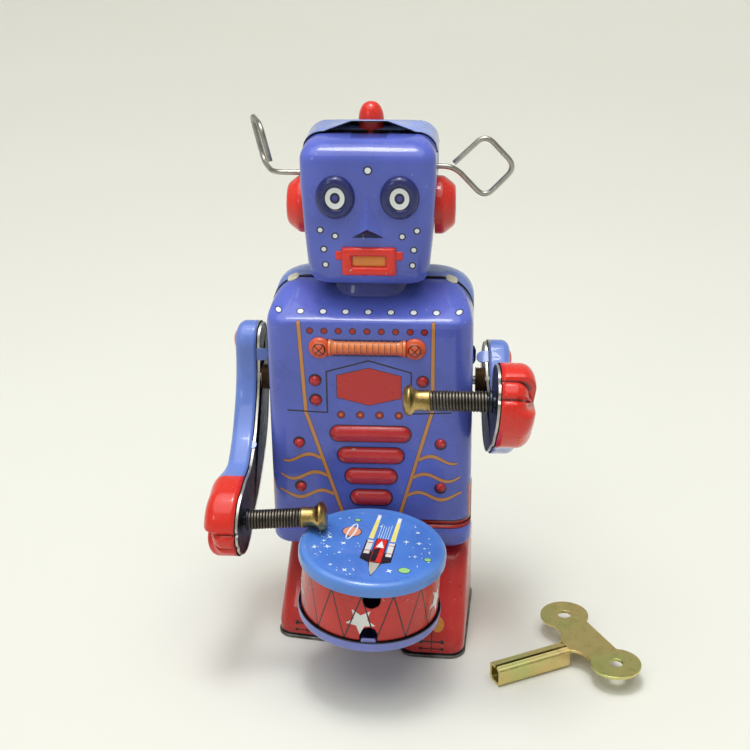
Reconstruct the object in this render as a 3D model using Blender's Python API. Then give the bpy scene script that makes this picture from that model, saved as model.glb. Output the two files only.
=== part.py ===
"""Clockwork tin toy robot that drums and shuffles, with its loose winding key.

The robot faces -Y and stands on z = 0. Its own left side is at +X. Dimensions are in millimetres
times MM, so every value in the scene is in metres. The right arm is down on the drum and the left
arm is up, which is one end of the stroke of both.
"""

import math

import bmesh
import bpy
from mathutils import Matrix, Vector

MM = 0.001
GAP = 0.3 * MM  # clearance kept between pieces that touch on the real toy
TIN = 0.7 * MM  # wall of the pressed sheet, a little heavier than the real plate

# Where the robot's own centre line stands in the model, so that the origin is under the middle of
# the robot and its key together.
ROBOT_PLACE = Vector((-19.6 * MM, 23.4 * MM, 0))

# Body
BODY_HALF_WIDTH = 33.1 * MM
BODY_FRONT = -20.0 * MM
BODY_REAR = 20.0 * MM
BODY_BOTTOM = 43.3 * MM
CHEST_TOP = 113.5 * MM
SHOULDER_TOP = 123.0 * MM
BODY_CORNER = 6.0 * MM
SHOULDER_ROUND = 11.0 * MM

# Base pan that the body stands on
PAN_BOTTOM = 34.0 * MM
PAN_TOP = 43.0 * MM
PAN_MARGIN = 0.2 * MM
PAN_EDGE = 2.3 * MM

# Neck and head
COLLAR_HALF_WIDTH = 15.0 * MM
COLLAR_HALF_DEPTH = 10.0 * MM
COLLAR_GAP = 0.9 * MM
CHIN_Z = 124.9 * MM
JAW_HALF_WIDTH = 19.2 * MM
TEMPLE_HALF_WIDTH = 21.0 * MM
JAW_Z = 131.5 * MM
TEMPLE_Z = 157.0 * MM
CROWN_Z = 170.0 * MM
REAR_CROWN_Z = 171.8 * MM  # the rear shell stands over the front one
FACE_Y = -17.0 * MM
NAPE_Y = 19.0 * MM
HEAD_CORNER = 5.0 * MM
CROWN_ROUND = 5.5 * MM

# Fittings of the head
LAMP_Y = 2.0 * MM
LAMP_RADIUS = 4.1 * MM
LAMP_FLANGE = 5.6 * MM
LAMP_TOP = 179.6 * MM
EAR_RADIUS = 9.3 * MM
EAR_Y = 2.0 * MM
EAR_Z = 147.0 * MM
EAR_PROUD = 5.5 * MM
WIRE_RADIUS = 0.85 * MM
AERIAL_Y = 2.0 * MM
LOOP_ROUND = 3.6 * MM
AERIALS = {  # side, place of the bend in x and z, half diagonals of the loop, their two directions
    "left": (1, 26.2 * MM, 159.6 * MM, 9.7 * MM, 10.3 * MM, (1, 0, 0), (0, 0, 1)),
    "right": (-1, 31.5 * MM, 157.2 * MM, 12.2 * MM, 9.4 * MM, (-0.36, 0.73, 0.58), (0.04, -0.59, 0.81)),
}

# Drum
DRUM_X = 1.8 * MM
DRUM_Y = -45.3 * MM
DRUM_MIDDLE = 37.0 * MM
DRUM_HEIGHT = 25.5 * MM
DRUM_HEAD_RADIUS = 23.5 * MM
DRUM_BAND_RADIUS = 22.1 * MM
DRUM_PAN_RADIUS = 23.1 * MM
DRUM_RIM = 4.3 * MM
DRUM_PAN_RIM = 4.1 * MM
DRUM_NOTCH = 2.7 * MM
DRUM_LEAN = (math.radians(2), math.radians(3.5), 0)  # forward, and towards the left foot

# Arms, in a frame on the shoulder axis with the arm lowered: f is forward, h is up
SHOULDER_Z = 87.0 * MM
ARM_SWING = math.radians(57)
HAND_REACH = 51.2 * MM
HAND_DROP = math.radians(40.5)
SHOULDER_END = Vector((-4.3 * MM, 11.7 * MM))
ELBOW = Vector((4.0 * MM, -18.6 * MM))
SHOULDER_END_RADIUS = 6.5 * MM
FOREARM_RADIUS = 9.0 * MM
FIST_RADIUS = 11.8 * MM
HUB_INNER = 33.8 * MM
HUB_RADIUS = 4.5 * MM
ARM_INNER = 38.3 * MM
ARM_PLATE = 0.6 * MM
ARM_DEPTH = 7.5 * MM
FIST_DEPTH = 10.9 * MM
ARM_EDGE = 2.6 * MM
CAP_RADIUS = 3.3 * MM
CAP_THICK = 1.3 * MM
SHAFT_RADIUS = 1.5 * MM
SHAFT_INNER = 15.0 * MM
SHAFT_OUTER = 44.0 * MM
LEVER_X = 20.0 * MM
LEVER_LENGTH = 12.0 * MM

# Drumsticks
SPRING_OUTER = 3.25 * MM
SPRING_INNER = 2.45 * MM
SPRING_ROOT = 36.6 * MM
SPRING_END = 20.7 * MM
TIP_END = 12.4 * MM
TIP_RADIUS = 4.5 * MM
STICK_RISE = {"left": 0.0, "right": math.radians(4.5)}  # the springs flex, so one tip rides higher

# Feet
FOOT_HALF_WIDTH = 10.6 * MM
FEET = {  # each shoe's place across and its small turn about the leg
    "left": (22.0 * MM, math.radians(-3)),
    "right": (-18.5 * MM, math.radians(-9)),
}
FOOT_TOE = -30.0 * MM
FOOT_HEEL = 17.0 * MM
INSTEP_Y = -10.5 * MM
FOOT_TOP = 31.5 * MM
TOE_TOP = 5.0 * MM
SOLE = 1.2 * MM
STRIDE = 8.6 * MM
LEG_X = 21.0 * MM
LEG_Y = -8.0 * MM
LEG_HALF_DEPTH = 3.5 * MM
LEG_TOP = 58.0 * MM

# Clockwork, between two plates across the body
PLATE_X = 13.1 * MM
PLATE_THICK = 0.8 * MM
PLATE_FRONT = -14.0 * MM
PLATE_REAR = 14.0 * MM
PLATE_BOTTOM = 35.4 * MM
PLATE_TOP = 92.0 * MM
MODULE = 0.75 * MM
GREAT_TEETH = 36
CRANK_PINION_TEETH = 9
CRANK_TEETH = 24
ESCAPE_PINION_TEETH = 8
ESCAPE_TEETH = 13
WINDING_Y = 3.0 * MM
WINDING_Z = 50.0 * MM
CRANK_BEARING = math.radians(120)
ESCAPE_BEARING = math.radians(40)
MESH_SLACK = 0.15 * MM
PALLET_RISE = 9.0 * MM
ARBOR_RADIUS = 1.5 * MM
WINDING_RADIUS = 2.0 * MM
SQUARE_HALF = 1.9 * MM

# Winding key, lying on the floor beside the robot
KEY_PLACE = Vector((73.6 * MM, -30.2 * MM, 0))
KEY_TURN = math.radians(208.7)  # way that the barrel points
KEY_BARREL = 6.6 * MM
KEY_WALL = 0.9 * MM
KEY_SLIT = 0.7 * MM
KEY_REACH = 36.0 * MM  # from the line of the holes to the open end
KEY_ROOT = 9.5 * MM
KEY_HOLE_HALF = 16.0 * MM
KEY_LOBE = 8.2 * MM
KEY_HOLE = 2.2 * MM
KEY_WAIST = 4.6 * MM

CORNER_STEPS = 4
TURN_STEPS = 32
SMALL_TURN_STEPS = 16

FINISHES = {  # base colour, roughness, metallic
    "blue": ((0.105, 0.125, 0.47), 0.3, 0.0),
    "pale_blue": ((0.17, 0.23, 0.66), 0.3, 0.0),
    "drum_blue": ((0.03, 0.16, 0.55), 0.3, 0.0),
    "red": ((0.62, 0.03, 0.018), 0.28, 0.0),
    "dark_tin": ((0.05, 0.06, 0.08), 0.45, 0.6),
    "bare_tin": ((0.55, 0.54, 0.5), 0.3, 1.0),
    "steel": ((0.35, 0.35, 0.34), 0.35, 1.0),
    "spring_steel": ((0.10, 0.10, 0.10), 0.35, 1.0),
    "brass": ((0.62, 0.42, 0.14), 0.3, 1.0),
    "zinc": ((0.52, 0.43, 0.17), 0.35, 1.0),
}


# ---------------------------------------------------------------- shared tools


def clear_scene():
    for old in list(bpy.data.objects):
        bpy.data.objects.remove(old, do_unlink=True)


def add_frame(name, place=(0, 0, 0), parent=None, rotation=(0, 0, 0)):
    """An empty that a body's pieces hang from, on the body's joint axis."""
    frame = bpy.data.objects.new(name, None)
    frame.location = place
    frame.rotation_euler = rotation
    frame.parent = parent
    bpy.context.scene.collection.objects.link(frame)
    return frame


def make_material(name, finish):
    colour, roughness, metallic = FINISHES[finish]
    material = bpy.data.materials.new(name)
    material.use_nodes = True
    shader = material.node_tree.nodes["Principled BSDF"]
    shader.inputs["Base Color"].default_value = (*colour, 1)
    shader.inputs["Roughness"].default_value = roughness
    shader.inputs["Metallic"].default_value = metallic
    return material


def turn_faces_out(mesh, is_sheet):
    """Makes the faces agree and point out, for an open sheet away from its own middle."""
    shape = bmesh.new()
    shape.from_mesh(mesh)
    bmesh.ops.recalc_face_normals(shape, faces=shape.faces)
    if is_sheet:
        middle = sum((v.co for v in shape.verts), Vector()) / len(shape.verts)
        outward = sum(f.normal.dot(f.calc_center_median() - middle) * f.calc_area() for f in shape.faces)
        if outward < 0:
            bmesh.ops.reverse_faces(shape, faces=shape.faces)
    shape.to_mesh(mesh)
    shape.free()


def add_mesh(name, shape, frame, is_sheet=False):
    points, faces = shape
    mesh = bpy.data.meshes.new(name)
    mesh.from_pydata([tuple(p) for p in points], [], faces)
    turn_faces_out(mesh, is_sheet)
    mesh.shade_smooth()
    mesh.set_sharp_from_angle(angle=math.radians(35))
    piece = bpy.data.objects.new(name, mesh)
    piece.parent = frame
    bpy.context.scene.collection.objects.link(piece)
    return piece


def add_solid(name, shape, finish, frame):
    piece = add_mesh(name, shape, frame)
    piece.data.materials.append(make_material(name, finish))
    return piece


def add_pressing(name, shape, finish, frame, wall=TIN):
    """A sheet of tin: the open surface is its outside and the wall goes inward."""
    piece = add_mesh(name, shape, frame, is_sheet=True)
    piece.data.materials.append(make_material(name, finish))
    solidify = piece.modifiers.new("wall", "SOLIDIFY")
    solidify.thickness = wall
    solidify.offset = -1
    solidify.use_even_offset = True
    return piece


def add_helper(name, shape, frame):
    helper = add_mesh(name, shape, frame)
    helper.hide_render = True
    helper.display_type = "WIRE"
    return helper


def boolean(piece, shape, operation):
    helper = add_helper(f"{piece.name}_{operation.lower()}", shape, piece.parent)
    modifier = piece.modifiers.new(operation.lower(), "BOOLEAN")
    modifier.operation = operation
    modifier.object = helper
    modifier.solver = "EXACT"


def cut(piece, shape):
    boolean(piece, shape, "DIFFERENCE")


def join(piece, shape):
    boolean(piece, shape, "UNION")


def moved(shape, matrix):
    points, faces = shape
    return [matrix @ Vector(p) for p in points], faces


def mirrored(shape, side):
    """The shape for the robot's left (side 1), or its mirror image for the right (side -1)."""
    points, faces = shape
    return [Vector((side * p[0], p[1], p[2])) for p in points], faces


def strips(rows, is_closed):
    """Quads between rows of equal length."""
    size = len(rows[0])
    faces = []
    for row in range(len(rows) - 1):
        for i in range(size if is_closed else size - 1):
            near = row * size
            far = near + size
            j = (i + 1) % size
            faces.append((near + i, near + j, far + j, far + i))
    return faces


def turned(profile, steps=TURN_STEPS):
    """A solid of revolution about X. The profile is (along, radius) from pole to pole, or a closed loop."""
    points = []
    rows = []
    for along, radius in profile:
        start = len(points)
        if radius == 0:
            points.append(Vector((along, 0, 0)))
        else:
            for i in range(steps):
                angle = math.tau * i / steps
                points.append(Vector((along, radius * math.cos(angle), radius * math.sin(angle))))
        rows.append(list(range(start, len(points))))
    pairs = list(zip(rows, rows[1:]))
    if profile[0][1] != 0:
        pairs.append((rows[-1], rows[0]))
    faces = []
    for near, far in pairs:
        for i in range(steps):
            j = (i + 1) % steps
            corners = (near[i % len(near)], near[j % len(near)], far[j % len(far)], far[i % len(far)])
            faces.append(tuple(dict.fromkeys(corners)))
    return points, faces


def upright(shape, x=0.0, y=0.0):
    """A shape turned about X, stood up about Z at (x, y)."""
    return moved(shape, Matrix.Translation((x, y, 0)) @ Matrix.Rotation(-math.pi / 2, 4, "Y"))


def rod(low, high, radius, steps=SMALL_TURN_STEPS):
    return turned([(low, 0), (low, radius), (high, radius), (high, 0)], steps)


def sleeve(low, high, outer, inner, steps=SMALL_TURN_STEPS):
    return turned([(low, inner), (low, outer), (high, outer), (high, inner)], steps)


def at(shape, y, z, x=0.0):
    return moved(shape, Matrix.Translation((x, y, z)))


def slab(outline, low, high):
    """A flat plate across X whose outline is a list of (y, z)."""
    size = len(outline)
    points = [Vector((x, y, z)) for x in (low, high) for y, z in outline]
    faces = strips([points[:size], points[size:]], True)
    faces += [tuple(range(size)), tuple(range(2 * size - 1, size - 1, -1))]
    return points, faces


def block(low, high):
    outline = [(low[1], low[2]), (high[1], low[2]), (high[1], high[2]), (low[1], high[2])]
    return slab(outline, low[0], high[0])


def arc(centre, radius, start, end, steps):
    """Points of an arc in a plane, both ends included, angles in radians."""
    points = []
    for i in range(steps + 1):
        angle = start + (end - start) * i / steps
        points.append((centre[0] + radius * math.cos(angle), centre[1] + radius * math.sin(angle)))
    return points


def half_ring(half_width, reach, corner, seam, z):
    """Half of a rounded rectangle: from the seam at -X, round the outer face at y = reach, to +X."""
    way = math.copysign(1, reach)
    half = [(half_width, seam)]
    for i in range(CORNER_STEPS + 1):
        angle = math.pi / 2 * i / CORNER_STEPS
        x = half_width - corner * (1 - math.cos(angle))
        y = reach - way * corner * (1 - math.sin(angle))
        half.append((x, y))
    return [Vector((-x, y, z)) for x, y in half] + [Vector((x, y, z)) for x, y in reversed(half)]


def full_ring(half_width, front, rear, corner, z):
    """A rounded rectangle at height z."""
    points = []
    for way_x, way_y, start in ((1, 1, 0), (-1, 1, 1), (-1, -1, 2), (1, -1, 3)):
        y = rear - corner if way_y > 0 else front + corner
        centre = (way_x * (half_width - corner), y)
        quarter = arc(centre, corner, start * math.pi / 2, (start + 1) * math.pi / 2, CORNER_STEPS)
        points += [Vector((px, py, z)) for px, py in quarter]
    return points


def shell(rows, is_closed, has_roof=True):
    """An open sheet through the rows, roofed at the last one."""
    points = [p for row in rows for p in row]
    faces = strips(rows, is_closed)
    if has_roof:
        faces.append(tuple(range(len(points) - len(rows[0]), len(points))))
    return points, faces


def quarter_round(steps):
    """(inset, drop) of a rounded edge of radius 1, from the side up to the top."""
    angles = [math.pi / 2 * i / steps for i in range(1, steps + 1)]
    return [(1 - math.cos(a), 1 - math.sin(a)) for a in angles]


# ---------------------------------------------------------------- body and head


def body_half(reach, seam):
    """The body's levels for one shell; the front shell's chest slopes back at the top."""
    way = math.copysign(1, reach)
    slope = 6.0 * MM if way < 0 else 2.0 * MM
    rows = [half_ring(BODY_HALF_WIDTH, reach, BODY_CORNER, seam, z) for z in (BODY_BOTTOM, CHEST_TOP)]
    rise = SHOULDER_TOP - CHEST_TOP
    for inset, drop in quarter_round(5):
        rows.append(
            half_ring(
                BODY_HALF_WIDTH - SHOULDER_ROUND * inset,
                reach - way * (SHOULDER_ROUND * 0.6 + slope) * inset,
                BODY_CORNER,
                seam,
                SHOULDER_TOP - rise * drop,
            )
        )
    return shell(rows, False)


def side_hole(y, z, radius):
    """A cutter along X through a side wall."""
    reach = BODY_HALF_WIDTH + 5 * MM
    return at(rod(BODY_HALF_WIDTH - 8 * MM, reach, radius), y, z)


def build_body(root):
    for name, reach, seam in (
        ("body_front_shell", BODY_FRONT, -GAP / 2),
        ("body_rear_shell", BODY_REAR, GAP / 2),
    ):
        piece = add_pressing(name, body_half(reach, seam), "blue", root)
        for side in (1, -1):
            cut(piece, mirrored(side_hole(0, SHOULDER_Z, SHAFT_RADIUS + 0.7 * MM), side))
        cut(piece, mirrored(side_hole(WINDING_Y, WINDING_Z, KEY_BARREL * 0.75), -1))


def build_base_pan(root):
    half_width = BODY_HALF_WIDTH + PAN_MARGIN
    front = BODY_FRONT - PAN_MARGIN
    rear = BODY_REAR + PAN_MARGIN
    corner = BODY_CORNER + PAN_MARGIN
    rows = [full_ring(half_width, front, rear, corner, PAN_TOP)]
    rows.append(full_ring(half_width, front, rear, corner, PAN_BOTTOM + PAN_EDGE))
    for inset, drop in quarter_round(3):
        step = PAN_EDGE * inset
        z = PAN_BOTTOM + PAN_EDGE * drop
        rows.append(full_ring(half_width - step, front + step, rear - step, corner - step, z))
    pan = add_pressing("base_pan", shell(rows, True), "blue", root)
    travel = LEG_HALF_DEPTH + STRIDE / 2 + 1 * MM
    for side in (1, -1):
        low = (side * LEG_X - 1.2 * MM, LEG_Y - travel, PAN_BOTTOM - 2 * MM)
        high = (side * LEG_X + 1.2 * MM, LEG_Y + travel, PAN_BOTTOM + 3 * MM)
        cut(pan, block(low, high))


def build_neck(root):
    corner = 4.0 * MM
    low = SHOULDER_TOP + GAP
    high = CHIN_Z + 1.2 * MM
    rows = [
        full_ring(COLLAR_HALF_WIDTH, -COLLAR_HALF_DEPTH, COLLAR_HALF_DEPTH, corner, z) for z in (low, high)
    ]
    add_pressing("neck_collar", shell(rows, True, has_roof=False), "blue", root)


def head_half(reach, seam):
    """The head's levels for one shell, from the rim round the neck up to the crown."""
    way = math.copysign(1, reach)
    neck_width = COLLAR_HALF_WIDTH + COLLAR_GAP
    neck_reach = way * (COLLAR_HALF_DEPTH + COLLAR_GAP)
    rows = [half_ring(neck_width, neck_reach, 4 * MM, seam, CHIN_Z)]
    chin_width = JAW_HALF_WIDTH - 1.6 * MM
    rows.append(half_ring(chin_width, reach - way * 1.6 * MM, HEAD_CORNER, seam, CHIN_Z + 1.6 * MM))
    rows.append(half_ring(JAW_HALF_WIDTH, reach, HEAD_CORNER, seam, JAW_Z))
    rows.append(half_ring(TEMPLE_HALF_WIDTH, reach, HEAD_CORNER, seam, TEMPLE_Z))
    rows.append(half_ring(TEMPLE_HALF_WIDTH, reach, HEAD_CORNER, seam, CROWN_Z - CROWN_ROUND))
    crown = CROWN_Z if way < 0 else REAR_CROWN_Z
    for inset, drop in quarter_round(4):
        step = CROWN_ROUND * inset
        z = crown - CROWN_ROUND * drop
        rows.append(half_ring(TEMPLE_HALF_WIDTH - step, reach - way * step, HEAD_CORNER, seam, z))
    return shell(rows, False)


def nose():
    """A wedge on the face: a ridge that grows from the brow down to a flat base."""
    top = 157.0 * MM
    base = 141.2 * MM
    back = FACE_Y + TIN * 0.6
    tip_y = FACE_Y - 3.4 * MM
    half = 5.1 * MM
    points = [
        (0, FACE_Y - 0.1 * MM, top),
        (-1.2 * MM, back, top),
        (1.2 * MM, back, top),
        (-half, back, base),
        (half, back, base),
        (0, tip_y, base + 1.8 * MM),
    ]
    faces = [(0, 1, 3, 5), (0, 5, 4, 2), (0, 2, 1), (1, 2, 4, 3), (3, 4, 5)]
    return [Vector(p) for p in points], faces


def build_head(root):
    front = add_pressing("head_front_shell", head_half(FACE_Y, -GAP / 2), "blue", root)
    join(front, nose())
    rear = add_pressing("head_rear_shell", head_half(NAPE_Y, GAP / 2), "blue", root)
    notch = rod(CROWN_Z - 4 * MM, REAR_CROWN_Z + 2 * MM, LAMP_FLANGE + GAP, 24)
    cut(rear, upright(notch, 0, LAMP_Y))
    hole = rod(TEMPLE_HALF_WIDTH - 4 * MM, TEMPLE_HALF_WIDTH + 4 * MM, WIRE_RADIUS + GAP)
    for side, _, height, *_ in AERIALS.values():
        cut(rear, mirrored(at(hole, AERIAL_Y, height), side))


def build_lamp(root):
    """The red lamp on the crown: a flange, a short neck and a dome."""
    foot = CROWN_Z + GAP
    dome_base = LAMP_TOP - LAMP_RADIUS * 1.35
    profile = [(foot, 0), (foot, LAMP_FLANGE), (foot + 0.8 * MM, LAMP_FLANGE)]
    profile.append((foot + 1.2 * MM, LAMP_RADIUS))
    for angle in (0, 25, 50, 72):
        turn = math.radians(angle)
        profile.append(
            (dome_base + LAMP_RADIUS * 1.35 * math.sin(turn), LAMP_RADIUS * 0.92 * math.cos(turn))
        )
    profile.append((LAMP_TOP, 0))
    add_solid("crown_lamp", upright(turned(profile, 24), 0, LAMP_Y), "red", root)


def build_ears(root):
    """Pressed ear discs, open towards the head: a flat, a step and a shallow dome."""
    foot = TEMPLE_HALF_WIDTH + GAP
    profile = [
        (foot, EAR_RADIUS - TIN),
        (foot, EAR_RADIUS),
        (foot + 2.6 * MM, EAR_RADIUS - 0.5 * MM),
        (foot + 4.2 * MM, EAR_RADIUS - 2.6 * MM),
        (foot + EAR_PROUD, 5.0 * MM),
        (foot + EAR_PROUD, 0),
    ]
    inside = [(along - TIN, max(radius - TIN, 0)) for along, radius in reversed(profile[2:])]
    for side, name in ((1, "ear_left"), (-1, "ear_right")):
        shape = turned_cup(profile, inside)
        add_solid(name, mirrored(at(shape, EAR_Y, EAR_Z), side), "red", root)


def turned_cup(outside, inside, steps=28):
    """A turned wall that closes over the axis: the outside runs to the pole, the inside back from it."""
    return turned(inside + outside, steps)


def rounded_path(corners, radius, steps=3):
    """A wire's path through 3-D corners, each inner corner rounded by a quadratic curve."""
    path = [corners[0]]
    for before, corner, after in zip(corners, corners[1:], corners[2:]):
        start = corner + (before - corner).normalized() * radius
        end = corner + (after - corner).normalized() * radius
        for i in range(steps + 1):
            t = i / steps
            path.append(start * (1 - t) ** 2 + corner * 2 * t * (1 - t) + end * t**2)
    path.append(corners[-1])
    return path


def aerial_corners(word):
    """Corners of the bent wire. The left loop faces the front; the right one is turned edge-on."""
    side, bend_x, height, half_long, half_wide, along, across = AERIALS[word]
    long_way = Vector(along).normalized()
    wide_way = Vector(across).normalized()
    bend = Vector((side * bend_x, AERIAL_Y, height))
    middle = bend + long_way * half_long
    return [
        Vector((side * (TEMPLE_HALF_WIDTH - 3 * MM), AERIAL_Y, height)),
        bend,
        middle - wide_way * half_wide,
        middle + long_way * half_long,
        middle + wide_way * half_wide,
        bend + long_way * 2.0 * MM + wide_way * 2.6 * MM,
    ]


def build_aerials(root):
    for word in AERIALS:
        path = rounded_path(aerial_corners(word), LOOP_ROUND)
        name = f"aerial_{word}"
        curve = bpy.data.curves.new(name, "CURVE")
        curve.dimensions = "3D"
        curve.bevel_depth = WIRE_RADIUS
        curve.bevel_resolution = 2
        curve.use_fill_caps = True
        spline = curve.splines.new("POLY")
        spline.points.add(len(path) - 1)
        for point, place in zip(spline.points, path):
            point.co = (*place, 1)
        wire = bpy.data.objects.new(name, curve)
        wire.parent = root
        wire.data.materials.append(make_material(name, "steel"))
        bpy.context.scene.collection.objects.link(wire)


# ---------------------------------------------------------------- drum


def front_hole(z):
    """A cutter along Y through the front of the drum's band."""
    low = -(DRUM_BAND_RADIUS + 5 * MM)
    shape = rod(low, low + 9 * MM, DRUM_NOTCH)
    return moved(shape, Matrix.Translation((0, 0, z)) @ Matrix.Rotation(math.pi / 2, 4, "Z"))


def build_drum(frame):
    """The drum about its own frame, which stands at the middle of it."""
    rim = DRUM_HEAD_RADIUS
    top = DRUM_HEIGHT / 2
    head = [
        (top - TIN, 0),
        (top - TIN, rim - 1.8 * MM),
        (top - 2.2 * MM, rim - TIN),
        (top - DRUM_RIM, rim - TIN),
        (top - DRUM_RIM, rim),
        (top - 2.0 * MM, rim),
        (top - 0.6 * MM, rim - 0.6 * MM),
        (top, rim - 2.0 * MM),
        (top, 0),
    ]
    add_solid("drum_head", upright(turned(head, 44)), "drum_blue", frame)

    bottom = -top
    low = bottom + TIN + 0.9 * MM
    high = top - TIN - GAP - 0.8 * MM
    band = sleeve(low, high, DRUM_BAND_RADIUS, DRUM_BAND_RADIUS - TIN, 44)
    band = add_solid("drum_band", upright(band), "red", frame)
    for z in (top - DRUM_RIM - 0.6 * MM, bottom + DRUM_PAN_RIM + 0.9 * MM):
        cut(band, front_hole(z))

    rim = DRUM_PAN_RADIUS
    low = bottom
    pan = [
        (low, 0),
        (low, rim - 1.4 * MM),
        (low + 1.2 * MM, rim),
        (low + DRUM_PAN_RIM, rim),
        (low + DRUM_PAN_RIM, rim - TIN),
        (low + 1.4 * MM, rim - TIN),
        (low + TIN, rim - 1.6 * MM),
        (low + TIN, 0),
    ]
    add_solid("drum_pan", upright(turned(pan, 44)), "blue", frame)


def build_drum_bracket(root):
    """A bent strip from under the base pan to the back of the drum."""
    high = PAN_BOTTOM - GAP
    wall = 0.8 * MM
    back = DRUM_Y + DRUM_PAN_RADIUS + 4 * GAP
    outline = [
        (BODY_FRONT + 12 * MM, high),
        (back, high),
        (back, high - 5.0 * MM),
        (back + wall, high - 5.0 * MM),
        (back + wall, high - wall),
        (BODY_FRONT + 12 * MM, high - wall),
    ]
    add_solid("drum_bracket", slab(outline, DRUM_X - 5 * MM, DRUM_X + 5 * MM), "bare_tin", root)


# ---------------------------------------------------------------- arms


def hand_centre():
    return Vector((HAND_REACH * math.cos(HAND_DROP), -HAND_REACH * math.sin(HAND_DROP)))


def limb_centre(t):
    """The arm's centre line from the shoulder end to the hand, through the elbow at its middle."""
    end = hand_centre()
    control = 2 * ELBOW - (SHOULDER_END + end) / 2
    return SHOULDER_END * (1 - t) ** 2 + control * 2 * t * (1 - t) + end * t**2


def smooth_step(value, low, high):
    share = min(max((value - low) / (high - low), 0), 1)
    return share * share * (3 - 2 * share)


def limb_radius(t):
    arm = SHOULDER_END_RADIUS + (FOREARM_RADIUS - SHOULDER_END_RADIUS) * smooth_step(t, 0, 0.5)
    return arm + (FIST_RADIUS - arm) * smooth_step(t, 0.80, 0.96)


def limb_depth(t):
    return ARM_DEPTH + (FIST_DEPTH - ARM_DEPTH) * smooth_step(t, 0.76, 0.94)


def limb_outline(stations=12, cap_steps=5):
    """(centre, outward, radius, t) round the arm: up one side, round the fist, back, round the shoulder."""
    step = 0.01
    sides = []
    for i in range(stations + 1):
        t = i / stations
        way = limb_centre(min(t + step, 1)) - limb_centre(max(t - step, 0))
        normal = Vector((-way.y, way.x)).normalized()
        sides.append((limb_centre(t), normal, limb_radius(t), t))
    outline = list(sides)
    for end, start in ((sides[-1], 1), (sides[0], -1)):
        centre, normal, radius, t = end
        for i in range(1, cap_steps + 1):
            turn = -math.pi * i / (cap_steps + 1)
            outward = Matrix.Rotation(turn, 2) @ (normal * start)
            outline.append((centre, outward, radius, t))
        if start == 1:
            outline += [(c, -n, r, t) for c, n, r, t in reversed(sides)]
    return outline


def limb_ring(outline, inset, x_of):
    """Points of the outline moved in by inset; x_of gives each its x from its place t on the arm."""
    ring = []
    for centre, outward, radius, t in outline:
        place = centre + outward * (radius - inset(radius))
        ring.append(Vector((x_of(t), -place.x, place.y)))
    return ring


def arm_shell_shape():
    outline = limb_outline()
    rim = ARM_INNER + ARM_PLATE + GAP
    rows = [limb_ring(outline, lambda r: 0, lambda t: rim)]
    rows.append(limb_ring(outline, lambda r: 0, lambda t: rim + limb_depth(t) - ARM_EDGE))
    for inset, drop in quarter_round(3):
        rows.append(
            limb_ring(
                outline,
                lambda r, inset=inset: ARM_EDGE * inset,
                lambda t, drop=drop: rim + limb_depth(t) - ARM_EDGE * drop,
            )
        )
    points, faces = shell(rows, True, has_roof=False)
    start = len(points) - len(outline)
    stations = 13
    caps = (len(outline) - 2 * stations) // 2
    far = start + 2 * stations + caps - 1
    for i in range(stations - 1):
        faces.append((start + i, start + i + 1, far - i - 1, far - i))
    fist = [start + stations - 1 + i for i in range(caps + 2)]
    shoulder = [far + i for i in range(caps + 1)] + [start]
    return points, faces + [tuple(fist), tuple(shoulder)]


def arm_plate_shape():
    ring = limb_ring(limb_outline(), lambda r: 0.8 * MM, lambda t: 0)
    return slab([(p.y, p.z) for p in ring], ARM_INNER, ARM_INNER + ARM_PLATE)


def hub_profile():
    groove = HUB_RADIUS - 0.7 * MM
    bore = SHAFT_RADIUS + GAP
    low = HUB_INNER
    high = ARM_INNER - GAP
    return [
        (low, bore),
        (low, HUB_RADIUS),
        (low + 1.0 * MM, HUB_RADIUS),
        (low + 1.3 * MM, groove),
        (high - 1.3 * MM, groove),
        (high - 1.0 * MM, HUB_RADIUS),
        (high, HUB_RADIUS),
        (high, bore),
    ]


def cap_profile():
    """The red cap on the arm's outer face."""
    low = ARM_INNER + ARM_PLATE + GAP + ARM_DEPTH + GAP
    return [
        (low, 0),
        (low, CAP_RADIUS),
        (low + CAP_THICK * 0.5, CAP_RADIUS - 0.2 * MM),
        (low + CAP_THICK * 0.85, CAP_RADIUS * 0.6),
        (low + CAP_THICK, 0),
    ]


def tip_profile():
    """The brass drumstick tip: a plug in the spring, a flared bell and a rounded end."""
    root = SPRING_END - GAP
    end = TIP_END
    return [
        (root + 3.0 * MM, 0),
        (root + 3.0 * MM, SPRING_INNER - 0.35 * MM),
        (root, SPRING_INNER - 0.35 * MM),
        (root, 3.0 * MM),
        (root - 3.6 * MM, 3.0 * MM),
        (root - 4.9 * MM, TIP_RADIUS - 0.6 * MM),
        (root - 5.6 * MM, TIP_RADIUS),
        (end + 0.8 * MM, TIP_RADIUS),
        (end + 0.2 * MM, TIP_RADIUS - 0.7 * MM),
        (end, 2.4 * MM),
        (end, 0),
    ]


def lever_outline():
    """A lever on the inner end of the arm's shaft, hanging back and down from it."""
    way = Vector((0.5, -0.87)).normalized()
    end = way * LEVER_LENGTH
    facing = math.atan2(way.y, way.x)
    outline = arc((0, 0), 3.4 * MM, facing + math.pi / 2, facing + 1.5 * math.pi, 6)
    outline += arc((end.x, end.y), 2.4 * MM, facing - math.pi / 2, facing + math.pi / 2, 6)
    return outline


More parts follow.
